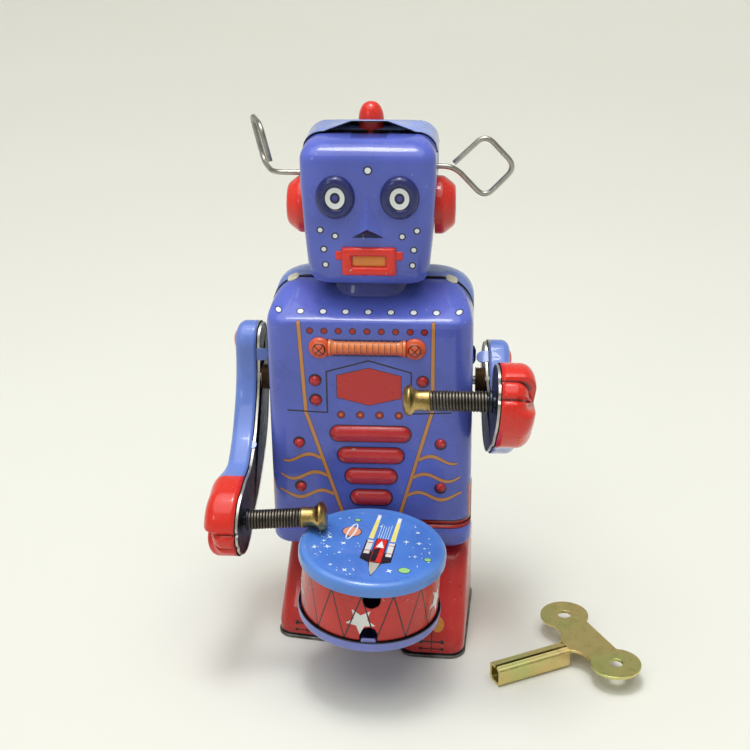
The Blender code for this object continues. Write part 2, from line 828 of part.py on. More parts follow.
def build_arm(frame, side, word):
    hand = hand_centre()
    hand_y = -hand.x
    hand_z = hand.y
    add_pressing(f"arm_shell_{word}", mirrored(arm_shell_shape(), side), "pale_blue", frame)
    plate = add_solid(f"arm_plate_{word}", mirrored(arm_plate_shape(), side), "dark_tin", frame)
    reach = (ARM_INNER - 3 * MM, ARM_INNER + 4 * MM)
    cut(plate, mirrored(rod(*reach, SHAFT_RADIUS + GAP), side))
    cut(plate, mirrored(at(rod(*reach, SPRING_INNER - 0.2 * MM), hand_y, hand_z), side))
    add_solid(f"shoulder_hub_{word}", mirrored(turned(hub_profile(), 20), side), "brass", frame)
    cap = at(turned(cap_profile(), 16), -SHOULDER_END.x, SHOULDER_END.y)
    add_solid(f"shoulder_cap_{word}", mirrored(cap, side), "red", frame)
    shaft = add_solid(
        f"arm_shaft_{word}", mirrored(rod(SHAFT_INNER, SHAFT_OUTER, SHAFT_RADIUS), side), "steel", frame
    )
    join(shaft, mirrored(slab(lever_outline(), LEVER_X, LEVER_X + 1.0 * MM), side))
    flange = [
        (SPRING_ROOT + GAP, 0),
        (SPRING_ROOT + GAP, 3.6 * MM),
        (ARM_INNER - GAP, 3.6 * MM),
        (ARM_INNER - GAP, 1.9 * MM),
        (ARM_INNER + 3.0 * MM, 1.9 * MM),
        (ARM_INNER + 3.0 * MM, 0),
    ]
    socket = at(turned(flange, SMALL_TURN_STEPS), hand_y, hand_z)
    add_solid(f"stick_socket_{word}", mirrored(socket, side), "dark_tin", frame)
    root = Vector((SPRING_ROOT, hand_y, hand_z))
    rise = Matrix.Translation(root) @ Matrix.Rotation(STICK_RISE[word], 4, "Y")
    flexed = rise @ Matrix.Translation((-SPRING_ROOT, 0, 0))
    spring = moved(sleeve(SPRING_END, SPRING_ROOT, SPRING_OUTER, SPRING_INNER, 20), flexed)
    add_solid(f"stick_spring_{word}", mirrored(spring, side), "spring_steel", frame)
    tip = moved(turned(tip_profile(), 20), flexed)
    add_solid(f"stick_tip_{word}", mirrored(tip, side), "brass", frame)


# ---------------------------------------------------------------- feet


def foot_row(z, inset=0.0, corner=5.2 * MM):
    share = (z - TOE_TOP) / (FOOT_TOP - TOE_TOP)
    front = FOOT_TOE + (INSTEP_Y - FOOT_TOE) * max(share, 0)
    return full_ring(FOOT_HALF_WIDTH - inset, front + inset, FOOT_HEEL - inset, corner - inset / 2, z)


def build_leg(frame, side, word):
    foot_x, turn = FEET[word]
    about_leg = Matrix.Translation((foot_x, LEG_Y, 0)) @ Matrix.Rotation(turn, 4, "Z")
    place = about_leg @ Matrix.Translation((0, -LEG_Y, 0))
    edge = 2.4 * MM
    rows = [foot_row(SOLE + GAP), foot_row(TOE_TOP), foot_row(FOOT_TOP - edge)]
    for inset, drop in quarter_round(3):
        rows.append(foot_row(FOOT_TOP - edge * drop, edge * inset))
    upper = add_pressing(f"foot_shell_{word}", moved(shell(rows, True), place), "red", frame)
    leg_x = side * LEG_X
    slot_low = (leg_x - 0.9 * MM, LEG_Y - LEG_HALF_DEPTH - GAP, FOOT_TOP - 6 * MM)
    slot_high = (leg_x + 0.9 * MM, LEG_Y + LEG_HALF_DEPTH + GAP, FOOT_TOP + 3 * MM)
    cut(upper, block(slot_low, slot_high))
    rim = 0.5 * MM
    rows = [
        full_ring(FOOT_HALF_WIDTH + rim, FOOT_TOE - rim, FOOT_HEEL + rim, 5.6 * MM, z) for z in (0, SOLE)
    ]
    points, faces = shell(rows, True)
    faces.append(tuple(reversed(range(len(rows[0])))))
    add_solid(f"sole_plate_{word}", moved((points, faces), place), "bare_tin", frame)
    low = (leg_x - 0.6 * MM, LEG_Y - LEG_HALF_DEPTH, SOLE + GAP)
    high = (leg_x + 0.6 * MM, LEG_Y + LEG_HALF_DEPTH, LEG_TOP)
    add_solid(f"leg_link_{word}", block(low, high), "bare_tin", frame)


# ---------------------------------------------------------------- clockwork


def polar(radius, angle):
    return Vector((radius * math.cos(angle), radius * math.sin(angle)))


def pitch_radius(teeth):
    return MODULE * teeth / 2


def gear_outline(teeth, phase=0.0):
    """A wheel's outline with plain trapezoid teeth; phase turns it, in teeth."""
    tip = pitch_radius(teeth) + 0.7 * MODULE
    root = pitch_radius(teeth) - 1.0 * MODULE
    outline = []
    for tooth in range(teeth):
        for share, radius in ((-0.28, root), (-0.1, tip), (0.1, tip), (0.28, root)):
            angle = math.tau * (tooth + phase + share) / teeth
            outline.append(tuple(polar(radius, angle)))
    return outline


def crank_place():
    reach = pitch_radius(GREAT_TEETH) + pitch_radius(CRANK_PINION_TEETH) + MESH_SLACK
    return Vector((WINDING_Y, WINDING_Z)) + polar(reach, CRANK_BEARING)


def escape_place():
    reach = pitch_radius(CRANK_TEETH) + pitch_radius(ESCAPE_PINION_TEETH) + MESH_SLACK
    return crank_place() + polar(reach, ESCAPE_BEARING)


def pallet_place():
    return escape_place() + Vector((0, PALLET_RISE))


def phase_towards(bearing, teeth):
    """The phase that puts the middle of a tooth on the given bearing."""
    return teeth * bearing / math.tau


def build_plates(root):
    outline = [
        (PLATE_FRONT, PLATE_BOTTOM),
        (PLATE_REAR, PLATE_BOTTOM),
        (PLATE_REAR, PLATE_TOP - 8 * MM),
        (PLATE_REAR - 8 * MM, PLATE_TOP),
        (PLATE_FRONT + 8 * MM, PLATE_TOP),
        (PLATE_FRONT, PLATE_TOP - 8 * MM),
    ]
    crank = crank_place()
    escape = escape_place()
    pallet = pallet_place()
    holes = [
        (WINDING_Y, WINDING_Z, WINDING_RADIUS + GAP),
        (crank.x, crank.y, ARBOR_RADIUS + GAP),
        (escape.x, escape.y, 1.0 * MM + GAP),
        (pallet.x, pallet.y, 1.0 * MM + GAP),
    ]
    for side, word in ((1, "left"), (-1, "right")):
        low = side * PLATE_X
        high = side * (PLATE_X + PLATE_THICK)
        plate = add_solid(f"motor_plate_{word}", slab(outline, low, high), "bare_tin", root)
        for y, z, radius in holes:
            bore = at(rod(-PLATE_THICK * 2, PLATE_THICK * 2, radius, 12), y, z, side * PLATE_X)
            cut(plate, bore)


def build_pillars(root):
    inset = 3.0 * MM
    places = [
        (PLATE_FRONT + inset, PLATE_BOTTOM + inset),
        (PLATE_REAR - inset, PLATE_TOP - 12 * MM),
        (PLATE_FRONT + inset, PLATE_TOP - 12 * MM),
        (PLATE_REAR - 5 * MM + inset, PLATE_BOTTOM + 32 * MM),
    ]
    length = PLATE_X - GAP
    for number, (y, z) in enumerate(places, 1):
        add_solid(f"motor_pillar_{number}", at(rod(-length, length, 1.6 * MM, 12), y, z), "steel", root)


def mainspring_shape(turns=5, steps=18):
    """A ribbon coiled round the winding arbor, as a closed strip of four-sided sections."""
    inner = WINDING_RADIUS + 0.7 * MM
    outer = 11.0 * MM
    half = 0.25 * MM
    low = -11.8 * MM
    high = -5.0 * MM
    rows = []
    for i in range(turns * steps + 1):
        share = i / (turns * steps)
        radius = inner + (outer - inner) * share
        angle = math.tau * turns * share
        near = polar(radius - half, angle)
        far = polar(radius + half, angle)
        rows.append([Vector((x, p.x, p.y)) for x, p in ((low, near), (high, near), (high, far), (low, far))])
    points, faces = shell(rows, True)
    return points, faces + [(3, 2, 1, 0)]


def build_winding(frame):
    arbor = add_solid("winding_arbor", rod(-22 * MM, PLATE_X + PLATE_THICK, WINDING_RADIUS), "steel", frame)
    half = SQUARE_HALF
    square = block((-BODY_HALF_WIDTH + 1.0 * MM, -half, -half), (-20 * MM, half, half))
    join(arbor, square)


def build_great_wheel(frame):
    thick = 0.5 * MM
    outline = gear_outline(GREAT_TEETH, phase_towards(CRANK_BEARING, GREAT_TEETH))
    wheel = add_solid("great_wheel", slab(outline, -2.5 * MM - thick, -2.5 * MM + thick), "brass", frame)
    cut(wheel, rod(-6 * MM, 2 * MM, WINDING_RADIUS + GAP))


def build_crank(frame):
    arbor = add_solid("crank_arbor", rod(-17.8 * MM, 17.8 * MM, ARBOR_RADIUS), "steel", frame)
    gap_at_mesh = phase_towards(CRANK_BEARING + math.pi, CRANK_PINION_TEETH) + 0.5
    join(arbor, slab(gear_outline(CRANK_PINION_TEETH, gap_at_mesh), -4.2 * MM, -0.8 * MM))
    outline = gear_outline(CRANK_TEETH, phase_towards(ESCAPE_BEARING, CRANK_TEETH))
    wheel = add_solid("crank_wheel", slab(outline, 4.0 * MM, 5.0 * MM), "brass", frame)
    cut(wheel, rod(0, 9 * MM, ARBOR_RADIUS + GAP))
    for side, word in ((1, "left"), (-1, "right")):
        low = PLATE_X + PLATE_THICK + 1.0 * MM
        disc = mirrored(sleeve(low, low + 1.2 * MM, 6.0 * MM, ARBOR_RADIUS + GAP, 20), side)
        crank = add_solid(f"crank_disc_{word}", disc, "steel", frame)
        pin = at(rod(low + 0.5 * MM, low + 4.2 * MM, 0.9 * MM, 10), side * 4.0 * MM, 0)
        join(crank, mirrored(pin, side))


def build_escape(frame):
    arbor = add_solid("escape_arbor", rod(-14.4 * MM, 14.4 * MM, 1.0 * MM, 12), "steel", frame)
    gap_at_mesh = phase_towards(ESCAPE_BEARING + math.pi, ESCAPE_PINION_TEETH) + 0.5
    join(arbor, slab(gear_outline(ESCAPE_PINION_TEETH, gap_at_mesh), 3.2 * MM, 5.8 * MM))
    outline = []
    for tooth in range(ESCAPE_TEETH):
        for share, radius in ((0.0, 3.9 * MM), (0.15, 5.4 * MM), (0.4, 3.9 * MM)):
            outline.append(tuple(polar(radius, math.tau * (tooth + share) / ESCAPE_TEETH)))
    wheel = add_solid("escape_wheel", slab(outline, 8.0 * MM, 8.8 * MM), "brass", frame)
    cut(wheel, rod(6 * MM, 11 * MM, 1.0 * MM + GAP, 12))


def build_pallet(frame):
    """The rocking anchor over the escape wheel, on its own pin."""
    pin = add_solid("governor_anchor", rod(-14.2 * MM, 14.2 * MM, 0.9 * MM, 12), "steel", frame)
    reach = 4.6 * MM
    drop = 2.6 * MM
    outline = [
        (-reach, -drop),
        (-reach + 1.2 * MM, -drop),
        (-reach + 1.8 * MM, -0.9 * MM),
        (reach - 1.8 * MM, -0.9 * MM),
        (reach - 1.2 * MM, -drop),
        (reach, -drop),
        (reach, 0.8 * MM),
        (0, 2.2 * MM),
        (-reach, 0.8 * MM),
    ]
    join(pin, slab(outline, 8.0 * MM, 8.8 * MM))


# ---------------------------------------------------------------- winding key


def key_plate_outline():
    """The key's two-lobed bow in (x, y): x runs to the barrel, y along the line of the holes."""
    lobe = KEY_LOBE
    centre = KEY_HOLE_HALF
    front_lean = math.radians(38)
    back_lean = math.acos(KEY_WAIST / lobe)
    upper = arc((0, centre), lobe, -front_lean, math.pi + back_lean, 12)
    lower = arc((0, -centre), lobe, math.pi - back_lean, math.tau + front_lean, 12)
    root_front = [(KEY_ROOT, -KEY_BARREL / 2), (KEY_ROOT, KEY_BARREL / 2)]
    return upper + lower + root_front


def build_key(frame):
    top = KEY_BARREL
    outline = key_plate_outline()
    size = len(outline)
    points = [Vector((x, y, z)) for z in (top - KEY_WALL, top) for x, y in outline]
    faces = strips([points[:size], points[size:]], True)
    faces += [tuple(range(size)), tuple(range(2 * size - 1, size - 1, -1))]
    key = add_solid("winding_key", (points, faces), "zinc", frame)

    half = KEY_BARREL / 2
    wall = KEY_WALL
    start = KEY_ROOT - 2.5 * MM
    section = [
        (-KEY_SLIT / 2, top),
        (-half + 1.0 * MM, top),
        (-half, top - 1.0 * MM),
        (-half, 1.0 * MM),
        (-half + 1.0 * MM, 0),
        (half - 1.0 * MM, 0),
        (half, 1.0 * MM),
        (half, top - 1.0 * MM),
        (half - 1.0 * MM, top),
        (KEY_SLIT / 2, top),
        (KEY_SLIT / 2, top - wall),
        (half - wall, top - wall),
        (half - wall, wall),
        (-half + wall, wall),
        (-half + wall, top - wall),
        (-KEY_SLIT / 2, top - wall),
    ]
    join(key, slab(section, start, KEY_REACH))
    for way in (1, -1):
        hole = upright(rod(top - 4 * MM, top + 4 * MM, KEY_HOLE, 20), 0, way * KEY_HOLE_HALF)
        cut(key, hole)


# ---------------------------------------------------------------- the whole toy


def build_all():
    clear_scene()
    root = add_frame("robot", ROBOT_PLACE)
    build_body(root)
    build_base_pan(root)
    build_neck(root)
    build_head(root)
    build_lamp(root)
    build_ears(root)
    build_aerials(root)
    build_drum(add_frame("drum", (DRUM_X, DRUM_Y, DRUM_MIDDLE), root, DRUM_LEAN))
    build_drum_bracket(root)
    build_plates(root)
    build_pillars(root)
    for side, word in ((1, "left"), (-1, "right")):
        raised = -ARM_SWING if side > 0 else 0
        arm = add_frame(f"arm_{word}", (0, 0, SHOULDER_Z), root, (raised, 0, 0))
        build_arm(arm, side, word)
        leg = add_frame(f"leg_{word}", (0, -side * STRIDE / 2, 0), root)
        build_leg(leg, side, word)
    winding_centre = (0, WINDING_Y, WINDING_Z)
    spring = at(mainspring_shape(), WINDING_Y, WINDING_Z)
    add_solid("mainspring", spring, "spring_steel", root)
    build_winding(add_frame("winding", winding_centre, root))
    build_great_wheel(add_frame("great", winding_centre, root))
    build_crank(add_frame("crank", (0, *crank_place()), root))
    build_escape(add_frame("escape", (0, *escape_place()), root))
    build_pallet(add_frame("anchor", (0, *pallet_place()), root))
    build_key(add_frame("key", KEY_PLACE, root, (0, 0, KEY_TURN)))


build_all()
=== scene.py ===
"""Looks of the clockwork tin robot: printed and pressed tin, wire, springs, brass and its key.

Shapes are in millimetres in the robot's own frame (it faces -Y, stands on z = 0, its left is +X),
or in the frame of the drum, an arm, a shoe or the key, and are placed by that frame's matrix.
"""

import math
import random

import bmesh
import bpy
from mathutils import Matrix, Vector


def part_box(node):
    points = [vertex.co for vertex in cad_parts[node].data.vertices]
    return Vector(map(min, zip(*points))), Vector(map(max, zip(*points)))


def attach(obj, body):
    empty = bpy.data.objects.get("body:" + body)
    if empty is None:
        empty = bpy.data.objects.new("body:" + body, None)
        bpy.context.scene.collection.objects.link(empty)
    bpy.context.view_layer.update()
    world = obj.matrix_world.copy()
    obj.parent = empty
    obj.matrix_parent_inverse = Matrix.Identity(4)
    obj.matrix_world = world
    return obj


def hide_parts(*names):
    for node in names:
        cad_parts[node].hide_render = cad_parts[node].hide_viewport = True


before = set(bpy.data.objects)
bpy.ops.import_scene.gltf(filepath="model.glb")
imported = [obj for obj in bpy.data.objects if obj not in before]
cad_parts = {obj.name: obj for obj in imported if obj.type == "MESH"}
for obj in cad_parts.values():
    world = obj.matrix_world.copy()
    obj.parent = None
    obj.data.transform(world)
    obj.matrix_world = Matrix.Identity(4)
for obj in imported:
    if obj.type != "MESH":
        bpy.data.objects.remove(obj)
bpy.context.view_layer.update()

MM = 0.001
SEAM = 0.15  # half the gap between the front and rear shells
TIN = 0.4


def corner(node, which):
    """The low (0) or high (1) corner of a CAD piece's box."""
    return Vector(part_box(node)[which]) / MM


# The robot's centre line, from its body's sides and from the seam between its shells.
BODY_LOW = corner("body_front_shell", 0)
BODY_HIGH = corner("body_front_shell", 1)
ORIGIN = Vector(((BODY_LOW.x + BODY_HIGH.x) / 2, BODY_HIGH.y + SEAM, 0))


def box_of(node):
    """The low and high corners of a CAD piece's box, from the robot's centre line."""
    return corner(node, 0) - ORIGIN, corner(node, 1) - ORIGIN


# ---------------------------------------------------------------- frames


def spot(x, y, z):
    return Matrix.Translation((x, y, z))


def spin(degrees, axis):
    return Matrix.Rotation(math.radians(degrees), 4, axis)


SHOULDER_Z = 87.0
LEG_Y = -8.0
ROBOT = spot(*ORIGIN)
DRUM = ROBOT @ spot(1.8, -45.3, 37.0) @ spin(3.5, "Y") @ spin(2, "X")
ARMS = {
    "left": ROBOT @ spot(0, 0, SHOULDER_Z) @ spin(-57, "X"),
    "right": ROBOT @ spot(0, 0, SHOULDER_Z),
}
SHOES = {
    "left": ROBOT @ spot(22.0, LEG_Y - 4.3, 0) @ spin(-3, "Z") @ spot(0, -LEG_Y, 0),
    "right": ROBOT @ spot(-18.5, LEG_Y + 4.3, 0) @ spin(-9, "Z") @ spot(0, -LEG_Y, 0),
}
KEY = ROBOT @ spot(73.6, -30.2, 0) @ spin(208.7, "Z")
ON_ROBOT = (ROBOT, "robot")
ON_DRUM = (DRUM, "robot")
SIDES = {"left": 1, "right": -1}


# ---------------------------------------------------------------- materials


BLUE = (0.082, 0.116, 0.52)
DEEP_BLUE = (0.006, 0.011, 0.115)
PALE_BLUE = (0.125, 0.21, 0.60)
REAR_BLUE = (0.17, 0.25, 0.62)
DRUM_BLUE = (0.055, 0.18, 0.62)
RED = (0.66, 0.016, 0.006)
DARK_RED = (0.36, 0.010, 0.010)
ORANGE = (0.72, 0.22, 0.03)
TAN = (0.55, 0.24, 0.06)
WHITE = (0.78, 0.82, 0.85)
INK = (0.003, 0.003, 0.006)
CREAM = (0.62, 0.60, 0.46)
BARE = (0.52, 0.53, 0.52)
HEXAGON_RED = (0.52, 0.016, 0.016)


class Paint:
    """A material whose nodes are added in small arithmetic steps, in millimetres of the piece's frame."""

    def __init__(self, name, offset=(0, 0, 0)):
        self.material = bpy.data.materials.new(name)
        self.material.use_nodes = True
        self.tree = self.material.node_tree
        self.shader = self.tree.nodes["Principled BSDF"]
        coords = self.tree.nodes.new("ShaderNodeTexCoord")
        scaled = self.vector("SCALE", coords.outputs["Object"], scale=1 / MM)
        self.place = self.vector("ADD", scaled, offset)
        split = self.tree.nodes.new("ShaderNodeSeparateXYZ")
        self.link(self.place, split.inputs[0])
        self.x, self.y, self.z = split.outputs

    def link(self, value, socket):
        if hasattr(value, "is_linked"):
            self.tree.links.new(value, socket)
        else:
            socket.default_value = value

    def vector(self, operation, a, b=None, scale=None):
        node = self.tree.nodes.new("ShaderNodeVectorMath")
        node.operation = operation
        self.link(a, node.inputs[0])
        if b is not None:
            self.link(b, node.inputs[1])
        if scale is not None:
            node.inputs["Scale"].default_value = scale
        return node.outputs["Value"] if operation in ("LENGTH", "DOT_PRODUCT") else node.outputs["Vector"]

    def math(self, operation, a, b=None, c=None, clamp=False):
        node = self.tree.nodes.new("ShaderNodeMath")
        node.operation = operation
        node.use_clamp = clamp
        for value, socket in zip((a, b, c), node.inputs):
            if value is not None:
                self.link(value, socket)
        return node.outputs[0]

    def below(self, value, edge, soft=0.12):
        """1 where value is less than edge, 0 above it, over a soft step."""
        return self.math("MULTIPLY_ADD", value, -1 / soft, edge / soft + 0.5, clamp=True)

    def above(self, value, edge, soft=0.12):
        return self.math("MULTIPLY_ADD", value, 1 / soft, -edge / soft + 0.5, clamp=True)

    def minus(self, a, b):
        return self.math("SUBTRACT", a, b)

    def times(self, a, b):
        return self.math("MULTIPLY", a, b)

    def size(self, value):
        return self.math("ABSOLUTE", value)

    def chain(self, operation, values):
        result = values[0]
        for value in values[1:]:
            result = self.math(operation, result, value)
        return result

    def both(self, *masks):
        return self.chain("MULTIPLY", masks)

    def either(self, *masks):
        return self.chain("MAXIMUM", masks)

    def nearest(self, *distances):
        return self.chain("MINIMUM", distances)

    def within(self, area, layers):
        """The same print layers, kept to one area."""
        return [(self.both(area, mask), colour) for mask, colour in layers]

    def ringed(self, distance, outer, inner, colour, outline=INK):
        """Two print layers from one distance: an outline and, on it, the colour inside."""
        return [(self.below(distance, outer), outline), (self.below(distance, inner), colour)]

    def flat(self, u, v):
        """A drawing plane's point with its two coordinates."""
        node = self.tree.nodes.new("ShaderNodeCombineXYZ")
        self.link(u, node.inputs[0])
        self.link(v, node.inputs[1])
        return node.outputs[0]

    def away(self, point, u, v):
        return self.vector("LENGTH", self.vector("SUBTRACT", point, (u, v, 0)))

    def along(self, point, start, end):
        """Distance to a straight line between two points."""
        way = Vector((end[0] - start[0], end[1] - start[1], 0))
        near = self.vector("SUBTRACT", point, (*start, 0))
        share = self.vector("DOT_PRODUCT", near, tuple(way / way.length_squared))
        share = self.math("ADD", share, 0.0, clamp=True)
        reach = self.tree.nodes.new("ShaderNodeVectorMath")
        reach.operation = "SCALE"
        reach.inputs[0].default_value = way
        self.link(share, reach.inputs["Scale"])
        return self.vector("LENGTH", self.vector("SUBTRACT", near, reach.outputs[0]))

    def path(self, point, corners):
        """Distance to a run of straight lines."""
        return self.nearest(*[self.along(point, a, b) for a, b in zip(corners, corners[1:])])

    def noise(self, scale, detail=3.0, roughness=0.5, stretch=None):
        """Cloud noise from 0 to 1; scale is in features per millimetre."""
        node = self.tree.nodes.new("ShaderNodeTexNoise")
        node.inputs["Scale"].default_value = scale
        node.inputs["Detail"].default_value = detail
        node.inputs["Roughness"].default_value = roughness
        place = self.place if stretch is None else self.vector("MULTIPLY", self.place, stretch)
        self.link(place, node.inputs["Vector"])
        return node.outputs["Fac"]

    def mix(self, share, a, b):
        node = self.tree.nodes.new("ShaderNodeMix")
        node.data_type = "RGBA"
        self.link(share, node.inputs["Factor"])
        for value, socket in ((a, node.inputs["A"]), (b, node.inputs["B"])):
            self.link((*value, 1) if isinstance(value, tuple) else value, socket)
        return node.outputs["Result"]

    def spread(self, value, low, high):
        """Stretches a noise's middle to a new range."""
        node = self.tree.nodes.new("ShaderNodeMapRange")
        node.inputs["From Min"].default_value = 0.3
        node.inputs["From Max"].default_value = 0.7
        node.inputs["To Min"].default_value = low
        node.inputs["To Max"].default_value = high
        self.link(value, node.inputs["Value"])
        return node.outputs["Result"]

    def bump(self, height, distance, strength=0.5):
        node = self.tree.nodes.new("ShaderNodeBump")
        node.inputs["Strength"].default_value = strength
        node.inputs["Distance"].default_value = distance * MM
        self.link(height, node.inputs["Height"])
        self.link(node.outputs["Normal"], self.shader.inputs["Normal"])

    def finish(self, colour, roughness, metallic=0.0, coat=0.0, coat_roughness=0.08, specular=0.5):
        inputs = self.shader.inputs
        self.link((*colour, 1) if isinstance(colour, tuple) else colour, inputs["Base Color"])
        self.link(roughness, inputs["Roughness"])
        self.link(metallic, inputs["Metallic"])
        inputs["Coat Weight"].default_value = coat
        inputs["Coat Roughness"].default_value = coat_roughness
        inputs["Specular IOR Level"].default_value = specular
        return self.material


def lacquer(name, colour, prints=None, wear=1.0, rim=None, offset=(0, 0, 0)):
    """Printed and varnished tin: mottled ink, specks and chips where the ink has gone, fine scratches."""
    paint = Paint(name, offset)
    cloud = paint.noise(0.05, 3.0)
    deeper = tuple(c * 0.84 for c in colour)
    lighter = tuple(min(c * 1.16 + 0.008, 1.0) for c in colour)
    ink = paint.mix(paint.spread(cloud, 0.0, 1.0), deeper, lighter)
    if prints:
        for mask, layer in prints(paint):
            ink = paint.mix(mask, ink, layer)
    grain = paint.noise(2.2, 2.0)
    ink = paint.mix(paint.times(grain, 0.02), ink, WHITE)
    specks = paint.above(paint.noise(0.9, 4.0, 0.62), 0.735 - 0.02 * wear, 0.02)
    patches = paint.above(paint.noise(0.07, 2.0), 0.5, 0.12)
    chips = paint.both(specks, patches)
    hairs = paint.above(paint.noise(0.5, 3.0, 0.6, (0.35, 0.35, 4.0)), 0.755 - 0.01 * wear, 0.015)
    bare = paint.either(chips, paint.times(hairs, 0.55 * wear))
    if rim is not None:
        bare = paint.either(bare, rim(paint))
    ink = paint.mix(bare, ink, BARE)
    roughness = paint.spread(paint.noise(0.16, 4.0, 0.6), 0.24, 0.38)
    dents = paint.math("MULTIPLY_ADD", paint.noise(0.035, 2.0), 1.0, paint.times(bare, -0.1))
    paint.bump(dents, 0.9, 0.35)
    metal = paint.times(bare, 0.8)
    return paint.finish(ink, roughness, metal, coat=0.5, coat_roughness=0.05, specular=0.25)


def metal(name, colour, dirt, roughness=(0.22, 0.42), grain=(1, 1, 1), dull=0.5, tint=None):
    """Bare metal with tarnish in clouds, fine grain and small pits."""
    paint = Paint(name)
    cloud = paint.noise(0.22, 4.0, 0.6)
    ink = paint.mix(paint.spread(cloud, 0.0, dull), colour, dirt)
    if tint:
        for layer, scale, share in tint:
            ink = paint.mix(paint.spread(paint.noise(scale, 2.0), 0.0, share), ink, layer)
    pits = paint.above(paint.noise(1.6, 3.0, 0.6), 0.68, 0.03)
    ink = paint.mix(paint.times(pits, 0.6), ink, dirt)
    fine = paint.noise(3.0, 2.0, 0.5, grain)
    rough = paint.spread(paint.noise(0.4, 4.0, 0.65), *roughness)
    paint.bump(paint.minus(fine, pits), 0.05, 0.3)
    return paint.finish(ink, rough, 1.0)


def plain_inside(name="inside_tin"):
    return metal(name, (0.10, 0.10, 0.11), (0.03, 0.03, 0.035), (0.4, 0.6), dull=1.0)


# ---------------------------------------------------------------- meshes


def make(name, shape, seat, material, slot, nodes=(), sheet=None, sharp=38, bevel=None):
    """One piece on its seat, a (frame, body) pair; sheet=(wall, inner material) makes it folded tin."""
    points, faces = shape
    place, body = seat
    mesh = bpy.data.meshes.new(name)
    mesh.from_pydata([tuple(Vector(p) * MM) for p in points], [], faces)
    form = bmesh.new()
    form.from_mesh(mesh)
    bmesh.ops.remove_doubles(form, verts=form.verts, dist=0.002 * MM)
    bmesh.ops.recalc_face_normals(form, faces=form.faces)
    if sheet:
        middle = sum((v.co for v in form.verts), Vector()) / len(form.verts)
        outward = sum(f.normal.dot(f.calc_center_median() - middle) * f.calc_area() for f in form.faces)
        if outward < 0:
            bmesh.ops.reverse_faces(form, faces=form.faces)
    form.to_mesh(mesh)
    form.free()
    mesh.shade_smooth()
    mesh.set_sharp_from_angle(angle=math.radians(sharp))
    piece = bpy.data.objects.new(name, mesh)
    bpy.context.scene.collection.objects.link(piece)
    piece.matrix_world = Matrix.LocRotScale(place.to_translation() * MM, place.to_quaternion(), None)
    mesh.materials.append(material)
    if sheet:
        wall, inner = sheet
        mesh.materials.append(inner)
        solidify = piece.modifiers.new("wall", "SOLIDIFY")
        solidify.thickness = wall * MM
        solidify.offset = -1
        solidify.material_offset = 1
        solidify.material_offset_rim = 1
    if bevel:
        edge = piece.modifiers.new("edge", "BEVEL")
        edge.width = bevel * MM
        edge.segments = 2
        edge.limit_method = "ANGLE"
        edge.angle_limit = math.radians(sharp)
        edge.harden_normals = True
    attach(piece, body)
    if nodes:
        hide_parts(*nodes)
    return piece


def strips(rows, is_closed):
    size = len(rows[0])
    faces = []
    for row in range(len(rows) - 1):
        for i in range(size if is_closed else size - 1):
            j = (i + 1) % size
            near = row * size
            far = near + size
            faces.append((near + i, near + j, far + j, far + i))
    return faces


def loft(rows, is_closed=True, roof=True, floor=False):
    """A skin over rows of points, closed at the last row by a roof and at the first by a floor."""
    points = [p for row in rows for p in row]
    faces = strips(rows, is_closed)
    size = len(rows[0])
    if roof:
        faces.append(tuple(range(len(points) - size, len(points))))
    if floor:
        faces.append(tuple(reversed(range(size))))
    return points, faces


def merge(*shapes):
    points = []
    faces = []
    for more, sides in shapes:
        start = len(points)
        points += list(more)
        faces += [tuple(start + i for i in side) for side in sides]
    return points, faces


def moved(shape, matrix):
    return [matrix @ Vector(p) for p in shape[0]], shape[1]


def mirrored(shape, side):
    return [Vector((side * p[0], p[1], p[2])) for p in shape[0]], shape[1]


def turned(profile, steps=64, axis="X"):
    """A solid of revolution. The profile is (along, radius), from pole to pole or a closed loop."""
    points = []
    rows = []
    for along, radius in profile:
        start = len(points)
        count = 1 if radius == 0 else steps
        for i in range(count):
            angle = math.tau * i / steps
            u = radius * math.cos(angle)
            v = radius * math.sin(angle)
            points.append(Vector((along, u, v)) if axis == "X" else Vector((u, v, along)))
        rows.append(list(range(start, len(points))))
    pairs = list(zip(rows, rows[1:]))
    if profile[0][1] != 0:
        pairs.append((rows[-1], rows[0]))
    faces = []
    for near, far in pairs:
        for i in range(steps):
            j = (i + 1) % steps
            four = (near[i % len(near)], near[j % len(near)], far[j % len(far)], far[i % len(far)])
            faces.append(tuple(dict.fromkeys(four)))
    return points, faces


def curve(start, control, end, t):
    """A point of the smooth bend from start to end that is drawn towards control."""
    return start * (1 - t) ** 2 + control * 2 * t * (1 - t) + end * t**2


def arc(centre, radius, start, end, steps, squash=1.0):
    """Points of an arc in degrees, both ends included."""
    points = []
    for i in range(steps + 1):
        angle = math.radians(start + (end - start) * i / steps)
        points.append((centre[0] + radius * math.cos(angle), centre[1] + radius * squash * math.sin(angle)))
    return points


def rounded(profile, radius, steps=4):
    """A (u, v) profile with its inner corners rounded by up to radius."""
    out = [profile[0]]
    for before, point, after in zip(profile, profile[1:], profile[2:]):
        middle = Vector(point)
        back = Vector(before) - middle
        ahead = Vector(after) - middle
        reach = min(radius, back.length * 0.45, ahead.length * 0.45)
        start = middle + back.normalized() * reach
        end = middle + ahead.normalized() * reach
        out += [tuple(curve(start, middle, end, i / steps)) for i in range(steps + 1)]
    out.append(profile[-1])
    return out


